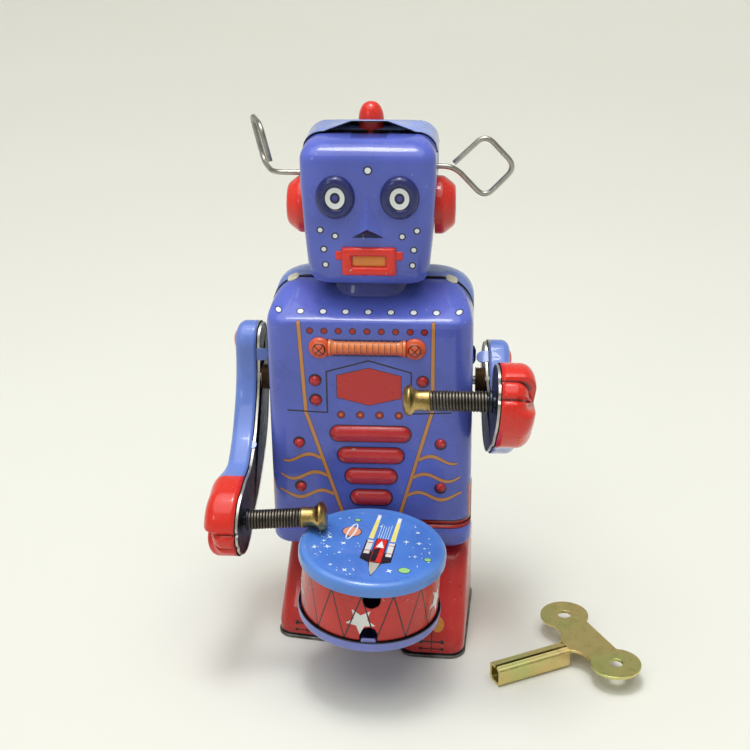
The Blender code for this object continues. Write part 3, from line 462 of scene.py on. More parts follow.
def half_ring(half_width, reach, rounding, seam, z, steps=10):
    """An open level line from seam to seam round the front (reach < 0) or the back of a shell."""
    way = math.copysign(1, reach)
    half = [(half_width, seam)]
    for i in range(steps + 1):
        angle = math.pi / 2 * i / steps
        inset = rounding * (1 - math.cos(angle))
        half.append((half_width - inset, reach - way * rounding * (1 - math.sin(angle))))
    return [Vector((-x, y, z)) for x, y in half] + [Vector((x, y, z)) for x, y in reversed(half)]


def full_ring(half_width, front, rear, rounding, z, steps=8):
    """A closed level line with rounded corners."""
    points = []
    for way_x, way_y, start in ((1, 1, 0), (-1, 1, 90), (-1, -1, 180), (1, -1, 270)):
        y = rear - rounding if way_y > 0 else front + rounding
        quarter = arc((way_x * (half_width - rounding), y), rounding, start, start + 90, steps)
        points += [Vector((u, v, z)) for u, v in quarter]
    return points


def quarter_round(steps):
    """Steps over a rounded edge: how far in and how far still to rise, as shares of its radius."""
    angles = [math.pi / 2 * i / steps for i in range(1, steps + 1)]
    return [(1 - math.cos(a), 1 - math.sin(a)) for a in angles]


def between(value, stops):
    """A smooth reading of a table of (value, result)."""
    for (a, low), (b, high) in zip(stops, stops[1:]):
        if value <= b:
            t = max((value - a) / (b - a), 0.0)
            return low + (high - low) * t
    return stops[-1][1]


def pillow(half_width, half_height, rise, power=4.0, rings=7, steps=48, sink=0.3):
    """A pressed bump on the XZ plane that swells towards -Y, from a superellipse outline."""
    rows = []
    for i in range(rings + 1):
        t = i / rings
        shrink = math.cos(t * math.pi / 2) ** 0.5 if t < 1 else 0.0
        lift = rise * math.sin(t * math.pi / 2)
        row = []
        for k in range(steps):
            angle = math.tau * k / steps
            c = math.cos(angle)
            s = math.sin(angle)
            u = math.copysign(abs(c) ** (2 / power), c)
            v = math.copysign(abs(s) ** (2 / power), s)
            inset = min(half_width, half_height) * (1 - shrink)
            row.append(Vector((u * (half_width - inset), sink - lift, v * (half_height - inset))))
        rows.append(row)
    return loft(rows, floor=True)


def capsule(half_length, radius, rise, steps=10, rings=6, sink=0.3):
    """A pressed bar with round ends on the XZ plane."""
    straight = half_length - radius
    outline = [(straight, u, v) for u, v in arc((0, 0), 1, -90, 90, steps)]
    outline += [(-straight, -u, -v) for _, u, v in outline]
    rows = []
    for i in range(rings + 1):
        t = math.pi / 2 * i / rings
        size = max(radius * math.cos(t), 0.02)
        y = sink - (rise + sink) * math.sin(t)
        rows.append([Vector((c + u * size, y, v * size)) for c, u, v in outline])
    return loft(rows, floor=True)


def disc_cap(radius, rise, steps=28, rings=6, sink=0.2):
    """A round pressed dome that swells towards -Y."""
    profile = [(sink, 0), (sink, radius)]
    for i in range(1, rings):
        t = math.pi / 2 * i / rings
        profile.append((-rise * math.sin(t), radius * math.cos(t)))
    profile.append((-rise, 0))
    points, faces = turned(profile, steps)
    return [Vector((p.y, p.x, p.z)) for p in points], faces


def tube(path, radius, steps=10, is_closed=False):
    """A round wire along 3-D points, with its frame carried from point to point."""
    rows = []
    count = len(path)
    normal = None
    for i, point in enumerate(path):
        ahead = path[(i + 1) % count] if is_closed or i < count - 1 else point
        behind = path[i - 1] if is_closed or i else point
        way = (ahead - behind).normalized()
        if normal is None:
            normal = way.orthogonal().normalized()
        normal = (normal - way * normal.dot(way)).normalized()
        across = way.cross(normal)
        row = []
        for k in range(steps):
            angle = math.tau * k / steps
            row.append(point + (normal * math.cos(angle) + across * math.sin(angle)) * radius)
        rows.append(row)
    return loft(rows, floor=True)


def decal(outline, lift, thick=0.03):
    """A thin printed patch on the XY plane at height lift, from a (u, v) outline."""
    low = [Vector((u, v, lift)) for u, v in outline]
    high = [Vector((u, v, lift + thick)) for u, v in outline]
    return loft([low, high], floor=True)


def star_outline(centre, radius, points=5, inner=0.42, turn=90.0):
    outline = []
    for i in range(points * 2):
        angle = math.radians(turn + 180 * i / points)
        size = radius if i % 2 == 0 else radius * inner
        outline.append((centre[0] + size * math.cos(angle), centre[1] + size * math.sin(angle)))
    return outline


# ---------------------------------------------------------------- body


BODY_HALF_WIDTH = 33.1
CHEST_Y = -20.0
BACK_Y = 20.0
BODY_FOOT = 43.3
BODY_ROUND = 6.5
CHEST_MIDDLE = 0.3
CHEST_BARS = [(13.2, 76.0), (10.9, 68.2), (8.6, 60.5), (6.9, 52.7)]  # half length and height
BAR_RADIUS = 2.85
CHEST_LAMPS = [  # x, z and radius
    (-17.3, 94.6, 1.75), (-17.2, 87.7, 1.75), (17.2, 94.9, 1.75), (17.3, 88.0, 1.75),
    (-23.1, 72.2, 1.6), (23.2, 73.0, 1.6), (-22.9, 56.1, 1.6), (23.3, 57.0, 1.6),
]
GRIP_Z = 106.1
GRIP_MIDDLE = -0.4
GRIP_LENGTH = 24.6
GRIP_RIBS = 13
BOSSES = (-15.6, 14.8)  # the x of each end of the handle
CREASE_Z = 114.6
CHEST_SLOPE = [(CREASE_Z - 1.2, -20.0), (CREASE_Z, -19.8), (CREASE_Z + 1.0, -18.7), (117.6, -14.6),
               (120.2, -9.0), (122.2, -4.6), (122.8, -1.6)]


def row_of_dots(paint, u, v, step, first, count):
    """Distance to the nearest dot of a row along u."""
    last = first + step * (count - 1)
    held = paint.nearest(paint.either(u, first), last)
    number = paint.math("ROUND", paint.math("DIVIDE", paint.minus(held, first), step))
    side = paint.minus(paint.minus(u, first), paint.times(number, step))
    return paint.vector("LENGTH", paint.flat(side, v))


def chest_print(paint):
    """The printed chest: seam line, rivets, dots, stripes, frame line, hexagon and waves."""
    wide = paint.size(paint.x)
    plane = paint.flat(paint.x, paint.z)
    fold = paint.flat(wide, paint.z)

    def dot_row(height, step, first, count):
        return row_of_dots(paint, paint.x, paint.minus(paint.z, height), step, first, count)

    uphill = paint.times(paint.minus(paint.z, 116.9), 2.28)
    drawn = paint.ringed(row_of_dots(paint, paint.x, uphill, 7.2, -29.0, 9), 1.3, 0.95, WHITE)
    drawn += paint.ringed(dot_row(111.8, 4.55, -18.6, 9), 1.15, 0.85, DARK_RED)
    for corners in ([(-22.2, 114.4), (-20.6, 83.4), (-8.5, 44.0)],
                    [(20.6, 114.4), (20.4, 84.6), (9.1, 44.0)]):
        drawn += paint.ringed(paint.path(plane, corners), 0.75, 0.58, TAN, DEEP_BLUE)
    frame_line = paint.path(fold, [(26.4, 84.0), (13.6, 83.4), (13.6, 97.8), (0.0, 101.8)])
    drawn.append((paint.below(frame_line, 0.26, 0.1), INK))
    tall = paint.minus(paint.size(paint.minus(paint.z, 92.7)), 6.5)
    hexagon = paint.either(paint.minus(wide, 10.3), paint.math("MULTIPLY_ADD", wide, 0.26, tall))
    drawn += paint.ringed(hexagon, 0.22, 0.0, HEXAGON_RED)
    buttons = dot_row(82.7, 6.25, -9.2, 4)
    drawn += paint.ringed(buttons, 1.4, 1.1, DARK_RED) + [(paint.below(buttons, 0.42), ORANGE)]
    for height, inner, outer in ((66.9, 16.2, 28.6), (60.4, 14.2, 29.6), (53.6, 12.2, 30.2)):
        bend = paint.math("SINE", paint.times(paint.minus(wide, inner), 0.42))
        line = paint.minus(paint.z, paint.math("MULTIPLY_ADD", bend, 1.3, height))
        taper = paint.math("MULTIPLY", paint.minus(outer, wide), 0.16, clamp=True)
        thin = paint.minus(paint.size(line), paint.math("MULTIPLY_ADD", taper, 0.28, 0.34))
        span = paint.both(paint.above(wide, inner), paint.below(wide, outer))
        drawn += paint.within(span, paint.ringed(thin, 0.14, 0.0, TAN, DEEP_BLUE))
    for x, z, size in ((17.3, 94.8, 2.15), (17.3, 87.9, 2.15), (23.1, 72.6, 2.0), (23.1, 56.5, 2.0)):
        drawn.append((paint.below(paint.away(fold, x, z), size, 0.3), INK))
    for half, z in CHEST_BARS:
        reach = half - BAR_RADIUS
        bar = paint.along(plane, (CHEST_MIDDLE - reach, z), (CHEST_MIDDLE + reach, z))
        drawn.append((paint.below(bar, BAR_RADIUS + 0.3, 0.3), INK))
    knobs = paint.along(plane, (BOSSES[0], GRIP_Z), (BOSSES[1], GRIP_Z))
    drawn.append((paint.below(knobs, 2.9, 0.4), DEEP_BLUE))
    front = paint.below(paint.y, -8.0)
    side_panel = paint.both(paint.above(wide, 32.2), paint.below(paint.z, 57.0), paint.below(paint.y, -2.0))
    return paint.within(front, drawn) + [
        (side_panel, DARK_RED),
        (paint.both(paint.above(paint.y, -0.7), paint.below(paint.z, 121.5)), INK),
        (paint.below(paint.z, 44.75), INK),
        (paint.below(paint.z, 44.3), DARK_RED),
    ]


def pan_print(paint):
    """The red band and black line round the top of the base pan."""
    return [(paint.above(paint.z, 41.5), INK), (paint.above(paint.z, 41.8), DARK_RED)]


def build_body(inside):
    shoulder = 11.0  # how far the front shell's shoulders narrow
    levels = [BODY_FOOT, 44.2, 60, 76, 92, 104, 109]
    levels += [CREASE_Z + step for step in (-3, -2, -1.2, -0.6, 0, 0.5, 1.0)]
    levels += [116.4, 117.6, 118.9, 120.2, 121.3, 122.2, 122.8]
    rows = []
    for z in levels:
        fall = max(z - 111.5, 0) / 11.5
        width = BODY_HALF_WIDTH - shoulder * (1 - math.sqrt(max(1 - fall * fall, 0.0)))
        reach = between(z, CHEST_SLOPE) if z > CREASE_Z - 1.2 else CHEST_Y
        rows.append(half_ring(width, reach, min(BODY_ROUND, -reach * 0.8), -SEAM, z))
    make("chest_shell", loft(rows, False), ON_ROBOT, lacquer("printed_chest", BLUE, chest_print), "blue",
         ("body_front_shell",), (TIN, inside))
    levels = (BODY_FOOT, 44.2, 60, 76, 92, 104, 112)
    rows = [half_ring(BODY_HALF_WIDTH, BACK_Y, BODY_ROUND, SEAM, z) for z in levels]
    for inset, drop in quarter_round(10):
        rows.append(half_ring(BODY_HALF_WIDTH - 11.0 * inset, BACK_Y - 8.5 * inset, BODY_ROUND, SEAM,
                              123.3 - 11.3 * drop))
    rear_paint = lacquer("rear_body_paint", REAR_BLUE, lambda p: [(p.below(p.y, 0.8), INK)])
    make("rear_body_cover", loft(rows, False), ON_ROBOT, rear_paint, "blue",
         ("body_rear_shell",), (TIN, inside))


def build_pan(inside):
    low, high = box_of("base_pan")
    width = (high.x - low.x) / 2
    edge = 2.6
    corner_round = 6.7
    rows = [full_ring(width, low.y, high.y, corner_round, z)
            for z in (high.z, (low.z + high.z) / 2, low.z + edge)]
    for inset, drop in quarter_round(6):
        step = edge * inset
        rows.append(full_ring(width - step, low.y + step, high.y - step, corner_round - step * 0.8,
                              low.z + edge * drop))
    make("base_skirt", loft(rows), ON_ROBOT, lacquer("skirt_paint", BLUE, pan_print, wear=1.6), "blue",
         ("base_pan",), (TIN, inside))


def build_chest_fittings():
    """Pressed details of the chest: bars, lamp domes, handle, shoulder tabs and the leaf at the side."""
    crimson = lacquer("bar_paint", (0.46, 0.012, 0.018), wear=1.6)
    for number, (half, z) in enumerate(CHEST_BARS, 1):
        bar = capsule(half, BAR_RADIUS, 1.9)
        make(f"chest_bar_{number}", moved(bar, spot(CHEST_MIDDLE, CHEST_Y, z)), ON_ROBOT, crimson, "red")
    for number, (x, z, radius) in enumerate(CHEST_LAMPS, 1):
        dome = moved(disc_cap(radius, 1.3), spot(x, CHEST_Y, z))
        make(f"chest_lamp_{number}", dome, ON_ROBOT, crimson, "red")
    amber = lacquer("handle_paint", (0.62, 0.085, 0.02), handle_print)
    knob = [(0.3, 3.6), (-0.7, 3.5), (-1.2, 3.0), (-1.5, 2.3), (-2.3, 1.6), (-2.6, 0.6), (-2.65, 0)]
    for number, x in enumerate(BOSSES, 1):
        points, faces = turned([(0.3, 0)] + rounded(knob, 0.4), 40)
        shape = [Vector((p.y + x, CHEST_Y + p.x, p.z + GRIP_Z)) for p in points], faces
        make(f"handle_boss_{number}", shape, ON_ROBOT, amber, "red")
    rows = []
    steps = GRIP_RIBS * 8
    for i in range(steps + 1):
        t = i / steps
        bulge = 0.12 * math.cos(math.tau * GRIP_RIBS * t)
        flare = 0.75 * max(0.0, abs(t - 0.5) * 2 - 0.8) / 0.2
        radius = 2.25 - bulge + flare
        x = GRIP_MIDDLE - GRIP_LENGTH / 2 + GRIP_LENGTH * t
        rows.append([Vector((x, CHEST_Y + 0.2 - (radius * 0.85 + 0.2) * math.sin(math.pi * k / 14),
                             GRIP_Z + radius * math.cos(math.pi * k / 14))) for k in range(15)])
    make("handle_grip", loft(rows, floor=True), ON_ROBOT, amber, "red")
    cream = lacquer("tab_paint", CREAM, wear=2.0)
    for word, side in SIDES.items():
        matrix = spot(side * 25.9, 0.2, 122.75) @ spin(side * 20, "Y") @ spin(-84, "X")
        make(f"shoulder_tab_{word}", moved(pillow(2.0, 2.3, 0.55, 3.0), matrix), ON_ROBOT, cream, "blue")
    outline = [(0, 3.2), (0.9, 2.6), (1.5, 1.0), (1.6, -0.8), (1.0, -2.4), (0, -3.4), (-0.7, -2.0),
               (-0.8, 1.6)]
    rows = [[Vector((x, u, v)) for u, v in outline] for x in (0.0, 0.5)]
    leaf = moved(loft(rows, floor=True), spot(33.2, -1.0, 96.6) @ spin(58, "Z"))
    make("side_tab", leaf, ON_ROBOT, lacquer("side_tab_paint", DEEP_BLUE, wear=2.0), "blue", bevel=0.12)


def handle_print(paint):
    """A painted highlight along the top of the ribbed grip, dark lines of painted shade for its grooves, and
    a crossed ring on each boss.
    """
    from_middle = paint.math("ADD", paint.x, -GRIP_MIDDLE)
    wide = paint.size(from_middle)
    grip = paint.below(wide, 12.2)
    ribs = paint.math("COSINE", paint.times(from_middle, math.tau * GRIP_RIBS / GRIP_LENGTH))
    # Painted highlight: lighter orange over the top half of the grip.
    top_highlight = paint.both(grip, paint.above(paint.z, GRIP_Z, 3.0))
    # Painted shade: dark lines standing for the grooves between the ribs.
    groove_shade = paint.both(grip, paint.above(ribs, 0.86, 0.1))
    plane = paint.flat(wide, paint.z)
    ring = paint.away(plane, 15.2, GRIP_Z)
    cross = paint.nearest(*[paint.along(plane, (14.1, GRIP_Z - rise), (16.3, GRIP_Z + rise))
                            for rise in (1.1, -1.1)])
    return [
        (paint.times(top_highlight, 0.6), (0.80, 0.30, 0.09)),
        (paint.times(groove_shade, 0.75), (0.20, 0.02, 0.01)),
        (paint.both(paint.above(ring, 1.75), paint.below(ring, 2.1)), INK),
        (paint.below(cross, 0.16, 0.1), INK),
    ]


# ---------------------------------------------------------------- head


FACE_Y = -17.0
EYE_Z = 154.7
CHEEK_RIVETS = [(15.0, 144.2), (10.4, 142.3), (14.0, 138.0), (13.6, 132.9)]
HEAD_WIDTH = [(124.9, 15.9), (125.3, 16.6), (126.4, 17.6), (128.2, 18.5), (131.5, 19.2), (144.0, 20.2),
              (157.0, 21.0)]  # height and half width
HEAD_REACH = [(124.9, 10.9), (125.3, 12.6), (126.4, 14.6), (128.2, 16.0), (131.5, 16.8), (136.0, 17.0),
              (157.0, 17.0)]  # height and depth from the seam


def face_print(paint):
    """Cheek and brow rivets, the dark line along the seam, painted shade in the hollow of the roof, and a
    black painted shadow on the roof behind the lamp, under the brim.
    """
    plane = paint.flat(paint.size(paint.minus(paint.x, 0.3)), paint.z)
    cheeks = paint.nearest(*[paint.away(plane, x, z) for x, z in CHEEK_RIVETS])
    drawn = paint.ringed(cheeks, 1.15, 0.72, WHITE)
    drawn += paint.ringed(paint.away(plane, 0, 163.2), 1.4, 0.95, WHITE)
    front = paint.below(paint.y, -11.0)
    roof = paint.above(paint.z, 168.4, 0.5)
    wide = paint.size(paint.x)
    hollow_shade = paint.both(roof, paint.below(wide, 5.6, 0.5), paint.above(paint.y, -9.0, 1.0))
    return paint.within(front, drawn) + [
        (paint.both(paint.below(paint.z, 166.5), paint.above(paint.y, -0.9)), INK),
        # Painted shade: deep blue in the hollow of the roof.
        (paint.times(hollow_shade, 0.55), DEEP_BLUE),
        # Painted shadow: black on the roof behind the lamp, where the brim overhangs it.
        (paint.both(roof, paint.below(wide, 5.7, 0.2), paint.above(paint.y, -3.6, 0.3)), INK),
    ]


def nose_print(paint):
    """Painted shade: black on the wedge's underside, which slopes from its tip back to the face."""
    slope = paint.math("MULTIPLY_ADD", paint.y, -1.18, -19.65)
    # Painted shade: the underside is inked black.
    underside_shade = paint.below(paint.minus(paint.z, slope), 141.62, 0.15)
    return [(underside_shade, INK)]


def eye_print(paint):
    """Rings of one eye about the frame's own Y axis."""
    squashed = paint.flat(paint.x, paint.math("DIVIDE", paint.z, 1.13))
    ring = paint.vector("LENGTH", squashed)
    return [
        (paint.below(ring, 3.35), INK),
        (paint.below(ring, 3.0), WHITE),
        (paint.below(ring, 1.55), INK),
        (paint.below(ring, 0.85), (0.045, 0.045, 0.36)),
    ]


def head_rows(reach_of, seam, crown, crown_round, crown_reach):
    rows = []
    for z in (124.9, 125.3, 126.4, 128.2, 131.5, 136.0, 144.0, 150.0, 157.0, crown - crown_round):
        rows.append(half_ring(between(z, HEAD_WIDTH), reach_of(z), 5.0, seam, z))
    width = between(160.0, HEAD_WIDTH)
    reach = reach_of(160.0)
    way = math.copysign(1, reach)
    for inset, drop in quarter_round(9):
        z = crown - crown_round * drop
        rows.append(half_ring(width - crown_round * inset, reach - way * crown_reach * inset, 5.0, seam, z))
    return rows


def build_head(inside):
    rows = head_rows(lambda z: -between(z, HEAD_REACH), -SEAM, 171.3, 6.0, 8.4)
    face = lacquer("printed_face", BLUE, face_print, wear=1.2)
    make("face_shell", loft(rows, False), ON_ROBOT, face, "blue", ("head_front_shell",), (TIN, inside))

    rows = head_rows(lambda z: between(z, HEAD_REACH) * 19.0 / 17.0, SEAM, 171.6, 6.5, 6.5)
    rear = lacquer("rear_head_paint", REAR_BLUE,
                   lambda p: [(p.both(p.below(p.y, 0.7), p.below(p.z, 165.0)), INK)], wear=1.2)
    make("rear_head_cover", loft(rows, False), ON_ROBOT, rear, "blue", ("head_rear_shell",), (TIN, inside))
    build_brim(rear, inside)
    build_nose(inside)

    eye_paint = lacquer("eye_paint", DEEP_BLUE, eye_print, wear=0.3)
    profile = [(0.4, 6.05), (-0.3, 6.05), (-1.5, 5.5), (-2.0, 4.5), (-1.75, 3.5), (-1.15, 2.95), (-1.0, 1.5),
               (-1.0, 0)]
    for number, x in enumerate((-9.8, 10.0), 1):
        points, faces = turned([(0.4, 0)] + rounded(profile, 0.9, 5), 64)
        shape = [Vector((p.y, p.x, p.z * 1.14)) for p in points], faces
        make(f"eye_{number}", shape, (ROBOT @ spot(x, FACE_Y, EYE_Z), "robot"), eye_paint, "blue", sharp=60)
    build_mouth()
    collar = []
    for z, grow in ((119.6, 1.6), (121.0, 1.2), (123.0, 0.5), (124.9, 0.0), (126.1, 0.0)):
        collar.append(full_ring(11.5 + grow, -8.4 - grow * 1.3, 9.4 + grow * 0.4, 7.6 + grow, z))
    # Painted shade: the neck band is a darker blue than the body, for the shadow under the head.
    dark = lacquer("neck_band_shade_paint", (0.045, 0.055, 0.30))
    make("neck_band", loft(collar, roof=False), ON_ROBOT, dark, "blue", ("neck_collar",), (0.35, inside))


def build_brim(rear, inside):
    """The rear cover's front edge, bent up over the lamp and down to the corners."""
    roof_z = 171.75
    stations = 12
    rows = []
    for i in range(stations + 1):
        t = i / stations
        lift = t * t * (3 - 2 * t)
        row = []
        for k in range(61):
            x = -21.25 + 42.5 * k / 60
            wide = abs(x)
            roof = roof_z
            if wide > 14.5:
                turn = min((wide - 14.5) / 6.7, 1.0)
                roof -= 6.5 * (1 - math.sqrt(max(1 - turn * turn, 0.0)))
            peak = 175.4 - max(wide - 5.5, 0.0) * 0.37 - roof_z
            z = roof + (0.35 if wide > 14.1 else max(peak, 0.0)) * lift
            row.append(Vector((x, 12.0 - 16.0 * t, z + 0.05)))
        rows.append(row)
    make("rear_head_brim", loft(rows, False, roof=False), ON_ROBOT, rear, "blue", (), (0.35, inside))


def build_nose(inside):
    """A wedge that grows from the brow to its tip, whose last row folds back under to the face."""
    middle = 0.1
    rows = []
    for i in range(17):
        t = min(i / 15, 1.0)
        z = 157.6 - 16.3 * t
        half = 0.5 + 4.7 * t**1.15
        proud = 3.4 * t**1.25
        row = []
        for k in range(17):
            s = -1 + 2 * k / 16
            ridge = (1 - abs(s)) ** 0.92
            if i == 16:
                row.append(Vector((middle + half * s, FACE_Y + 0.4, z + 0.1)))
            else:
                row.append(Vector((middle + half * s, FACE_Y + 0.35 - proud * ridge, z + 3.9 * ridge * t**4)))
        rows.append(row)
    paint = lacquer("nose_paint", BLUE, nose_print, wear=0.6)
    make("nose_wedge", loft(rows, False, roof=False), ON_ROBOT, paint, "blue", (), (0.3, inside), sharp=32)


def build_mouth():
    """A raised red frame round an orange slot, with a small bracket at each end."""
    red = lacquer("mouth_paint", RED, wear=1.8)
    centre_x = 0.35
    centre_z = 134.2
    rows = []
    for half_w, half_h, y in ((8.5, 4.6, 0.3), (8.45, 4.55, -0.5), (8.1, 4.2, -1.1), (7.5, 3.6, -1.35),
                              (6.4, 2.7, -1.35), (5.7, 2.05, -1.1), (5.3, 1.75, -0.4), (5.3, 1.75, 0.3)):
        ring = full_ring(half_w, -half_h, half_h, 0.55, 0, 3)
        rows.append([Vector((centre_x + p.x, FACE_Y + y, centre_z + p.y)) for p in ring])
    rows.append(rows[0])
    make("mouth_frame", loft(rows, roof=False), ON_ROBOT, red, "red", sharp=60)
    slot = moved(pillow(5.4, 1.85, 0.45, 8.0), spot(centre_x, FACE_Y, centre_z))
    make("mouth_slot", slot, ON_ROBOT, lacquer("mouth_slot_paint", (0.68, 0.22, 0.03), wear=0.8), "red")
    for word, side in SIDES.items():
        bracket = moved(pillow(1.3, 1.5, 0.8, 6.0), spot(centre_x + side * 9.3, FACE_Y, 136.0))
        make(f"mouth_bracket_{word}", bracket, ON_ROBOT, red, "red")


def build_head_fittings(red):
    low, high = box_of("crown_lamp")
    foot = low.z
    profile = [(foot, 0), (foot, 5.0), (foot + 0.5, 5.0), (foot + 0.8, 4.7), (foot + 0.9, 4.1),
               (foot + 3.2, 4.05)]
    for angle in range(8, 90, 9):
        turn = math.radians(angle)
        profile.append((foot + 3.2 + (high.z - foot - 3.2) * math.sin(turn), 4.05 * math.cos(turn) ** 0.8))
    profile.append((high.z, 0))
    set_back = 2.2  # how much further back the lamp stands than its CAD piece
    place = spot((low.x + high.x) / 2, (low.y + high.y) / 2 + set_back, 0)
    make("head_lamp", moved(turned(profile, 48, "Z"), place), ON_ROBOT, red, "red", ("crown_lamp",))
    for word, side in SIDES.items():
        low, high = box_of(f"ear_{word}")
        centre = (low + high) / 2
        foot = min(abs(low.x), abs(high.x))
        proud = max(abs(low.x), abs(high.x)) - foot
        radius = (high.z - low.z) / 2
        outside = rounded([(-1.0, radius), (proud * 0.3, radius), (proud * 0.86, 6.9), (proud, 5.9),
                           (proud, 4.2), (proud * 0.9, 3.7), (proud * 0.9, 0)], 0.9, 5)
        hollow = [(u - TIN, max(v - TIN, 0.0)) for u, v in reversed(outside)]
        hollow[-1] = (-1.0, radius - TIN)
        shell = turned([p for p in hollow if p[1] > 0 or p is hollow[0]] + outside, 56)
        shape = mirrored(moved(shell, spot(foot, centre.y, centre.z)), side)
        make(f"ear_disc_{word}", shape, ON_ROBOT, red, "red", (f"ear_{word}",))


WIRE_BEND = 3.8  # how far from each corner the wire starts to bend
AERIALS = {  # side, bend in x and z, half diagonals, their directions, and where the free end stops
    "left": (1, 26.2, 159.6, 9.7, 10.3, (1, 0, 0), (0, 0, 1), (0.0, 1.05)),
    "right": (-1, 31.5, 157.2, 12.2, 9.4, (-0.36, 0.73, 0.58), (0.04, -0.59, 0.81), (2.4, 2.4)),
}


def build_aerials(wire):
    for word, (side, bend_x, height, half_long, half_wide, along, across, end) in AERIALS.items():
        long_way = Vector(along).normalized()
        wide_way = Vector(across).normalized()
        bend = Vector((side * bend_x, 2.0, height))
        middle = bend + long_way * half_long
        corners = [
            Vector((side * 18.0, 2.0, height)),
            bend,
            middle - wide_way * half_wide,
            middle + long_way * half_long,
            middle + wide_way * half_wide,
            bend + long_way * end[0] + wide_way * end[1],
        ]
        path = [corners[0]]
        for before, point, after in zip(corners, corners[1:], corners[2:]):
            start = point + (before - point).normalized() * WIRE_BEND
            stop = point + (after - point).normalized() * WIRE_BEND
            path += [curve(start, point, stop, i / 12) for i in range(13)]
        path.append(corners[-1])
        make(f"aerial_wire_{word}", tube(path, 0.85, 14), ON_ROBOT, wire, "steel", (f"aerial_{word}",))


# ---------------------------------------------------------------- drum


DRUM_HALF = 12.75
HEAD_RADIUS = 23.5
BAND_RADIUS = 22.1
HOOP_RADIUS = 23.1
RIM_BOTTOM = DRUM_HALF - 4.3
SKIN = DRUM_HALF - 0.25
PRINT_Z = SKIN + 0.012
ZIGZAGS = 14
ZIGZAG_PHASE = 0.6556


def band_print(paint):
    """A black zigzag round the red band, and at its foot a black line of painted shadow where it meets the
    hoop.
    """
    angle = paint.math("ARCTAN2", paint.y, paint.x)
    turns = paint.math("MULTIPLY_ADD", angle, ZIGZAGS / math.tau, ZIGZAG_PHASE)
    wave = paint.math("PINGPONG", turns, 0.5)
    height = paint.math("MULTIPLY_ADD", wave, -32.6, RIM_BOTTOM - 0.6)
    line = paint.size(paint.minus(paint.z, height))
    # The black line at the foot is painted shadow where the band meets the hoop.
    return [(paint.below(line, 0.8, 0.25), INK), (paint.below(paint.z, -8.35), INK)]


def skin_print(paint):
    """The drum head's clouded blue, paler towards its rolled rim."""
    reach = paint.vector("LENGTH", paint.flat(paint.x, paint.y))
    rim = paint.above(reach, HEAD_RADIUS - 2.2, 2.0)
    haze = paint.times(paint.spread(paint.noise(0.09, 4.0, 0.6), 0.0, 1.0), 0.35)
    return [(haze, (0.09, 0.27, 0.72)), (paint.times(rim, 0.5), (0.11, 0.26, 0.66))]


def bent_decal(outline, radius, face_angle, height, lift=0.03, rings=4):
    """A printed patch laid round the drum's band, as a fan of rings that follow its curve."""
    layers = []
    for thick in (0.0, 0.05):
        layer = []
        for i in range(rings):
            share = 1 - i / rings
            row = []
            for u, v in outline:
                angle = math.radians(face_angle) + u * share / radius
                reach = radius + lift + thick
                row.append(Vector((reach * math.cos(angle), reach * math.sin(angle), height + v * share)))
            layer.append(row)
        layers.append(layer)
    inner, outer = layers
    return loft(list(reversed(inner)) + outer, floor=True)


def build_drum(inside):
    top = DRUM_HALF
    edge = HEAD_RADIUS - TIN
    skin = [(SKIN - TIN, 0), (SKIN - TIN, 20.4), (top - TIN, 21.4), (top - 0.9, 22.4), (top - 1.8, edge),
            (RIM_BOTTOM, edge), (RIM_BOTTOM - 0.1, edge + 0.3), (RIM_BOTTOM + 0.3, HEAD_RADIUS),
            (top - 1.7, HEAD_RADIUS), (top - 0.55, HEAD_RADIUS - 0.45), (top, HEAD_RADIUS - 1.6),
            (top - 0.05, HEAD_RADIUS - 2.3), (SKIN, 20.3), (SKIN, 0)]
    make("drum_skin", turned(rounded(skin, 0.7, 4), 128, "Z"), ON_DRUM,
         lacquer("skin_paint", DRUM_BLUE, skin_print, 1.2), "drum_blue", ("drum_head",))
    build_band(inside)
    low = -DRUM_HALF
    hoop = [(low, 0), (low, 21.4), (low + 0.5, 22.5), (low + 1.4, HOOP_RADIUS - 0.1),
            (low + 3.6, HOOP_RADIUS), (low + 4.1, HOOP_RADIUS - 0.15), (low + 4.1, HOOP_RADIUS - TIN - 0.1),
            (low + 1.6, HOOP_RADIUS - TIN - 0.1), (low + 0.7, 21.9), (low + TIN, 21.2), (low + TIN, 0)]
    # Painted shadow: the hoop's top edge is black where the band meets it.
    lavender = lacquer("hoop_paint", (0.16, 0.19, 0.56), lambda p: [(p.above(p.z, -8.95), INK)], 1.6)
    make("drum_hoop", turned(rounded(hoop, 0.6, 4), 128, "Z"), ON_DRUM, lavender, "blue", ("drum_pan",))
    build_skin_prints()


NOTCHES = [(-85.8, 6.3, 1), (-87.0, -6.2, -1)]  # bearing, height and open side of two round-ended slots
NOTCH_RADIUS = 2.75


def notch_distance(angle, z):
    """Distance from the edge of the nearest slot, in the band's flat layout, and its nearest edge point."""
    best = None
    for bearing, height, way in NOTCHES:
        u = ((math.degrees(angle) - bearing + 180) % 360 - 180) * math.pi / 180 * BAND_RADIUS
        v = z - height
        if v * way > 0:
            away = abs(u)
            target = (math.copysign(NOTCH_RADIUS, u), v)
        else:
            away = math.hypot(u, v)
            target = (u * NOTCH_RADIUS / max(away, 0.01), v * NOTCH_RADIUS / max(away, 0.01))
        if best is None or away < best[0]:
            best = (away, math.radians(bearing) + target[0] / BAND_RADIUS, height + target[1])
    return best


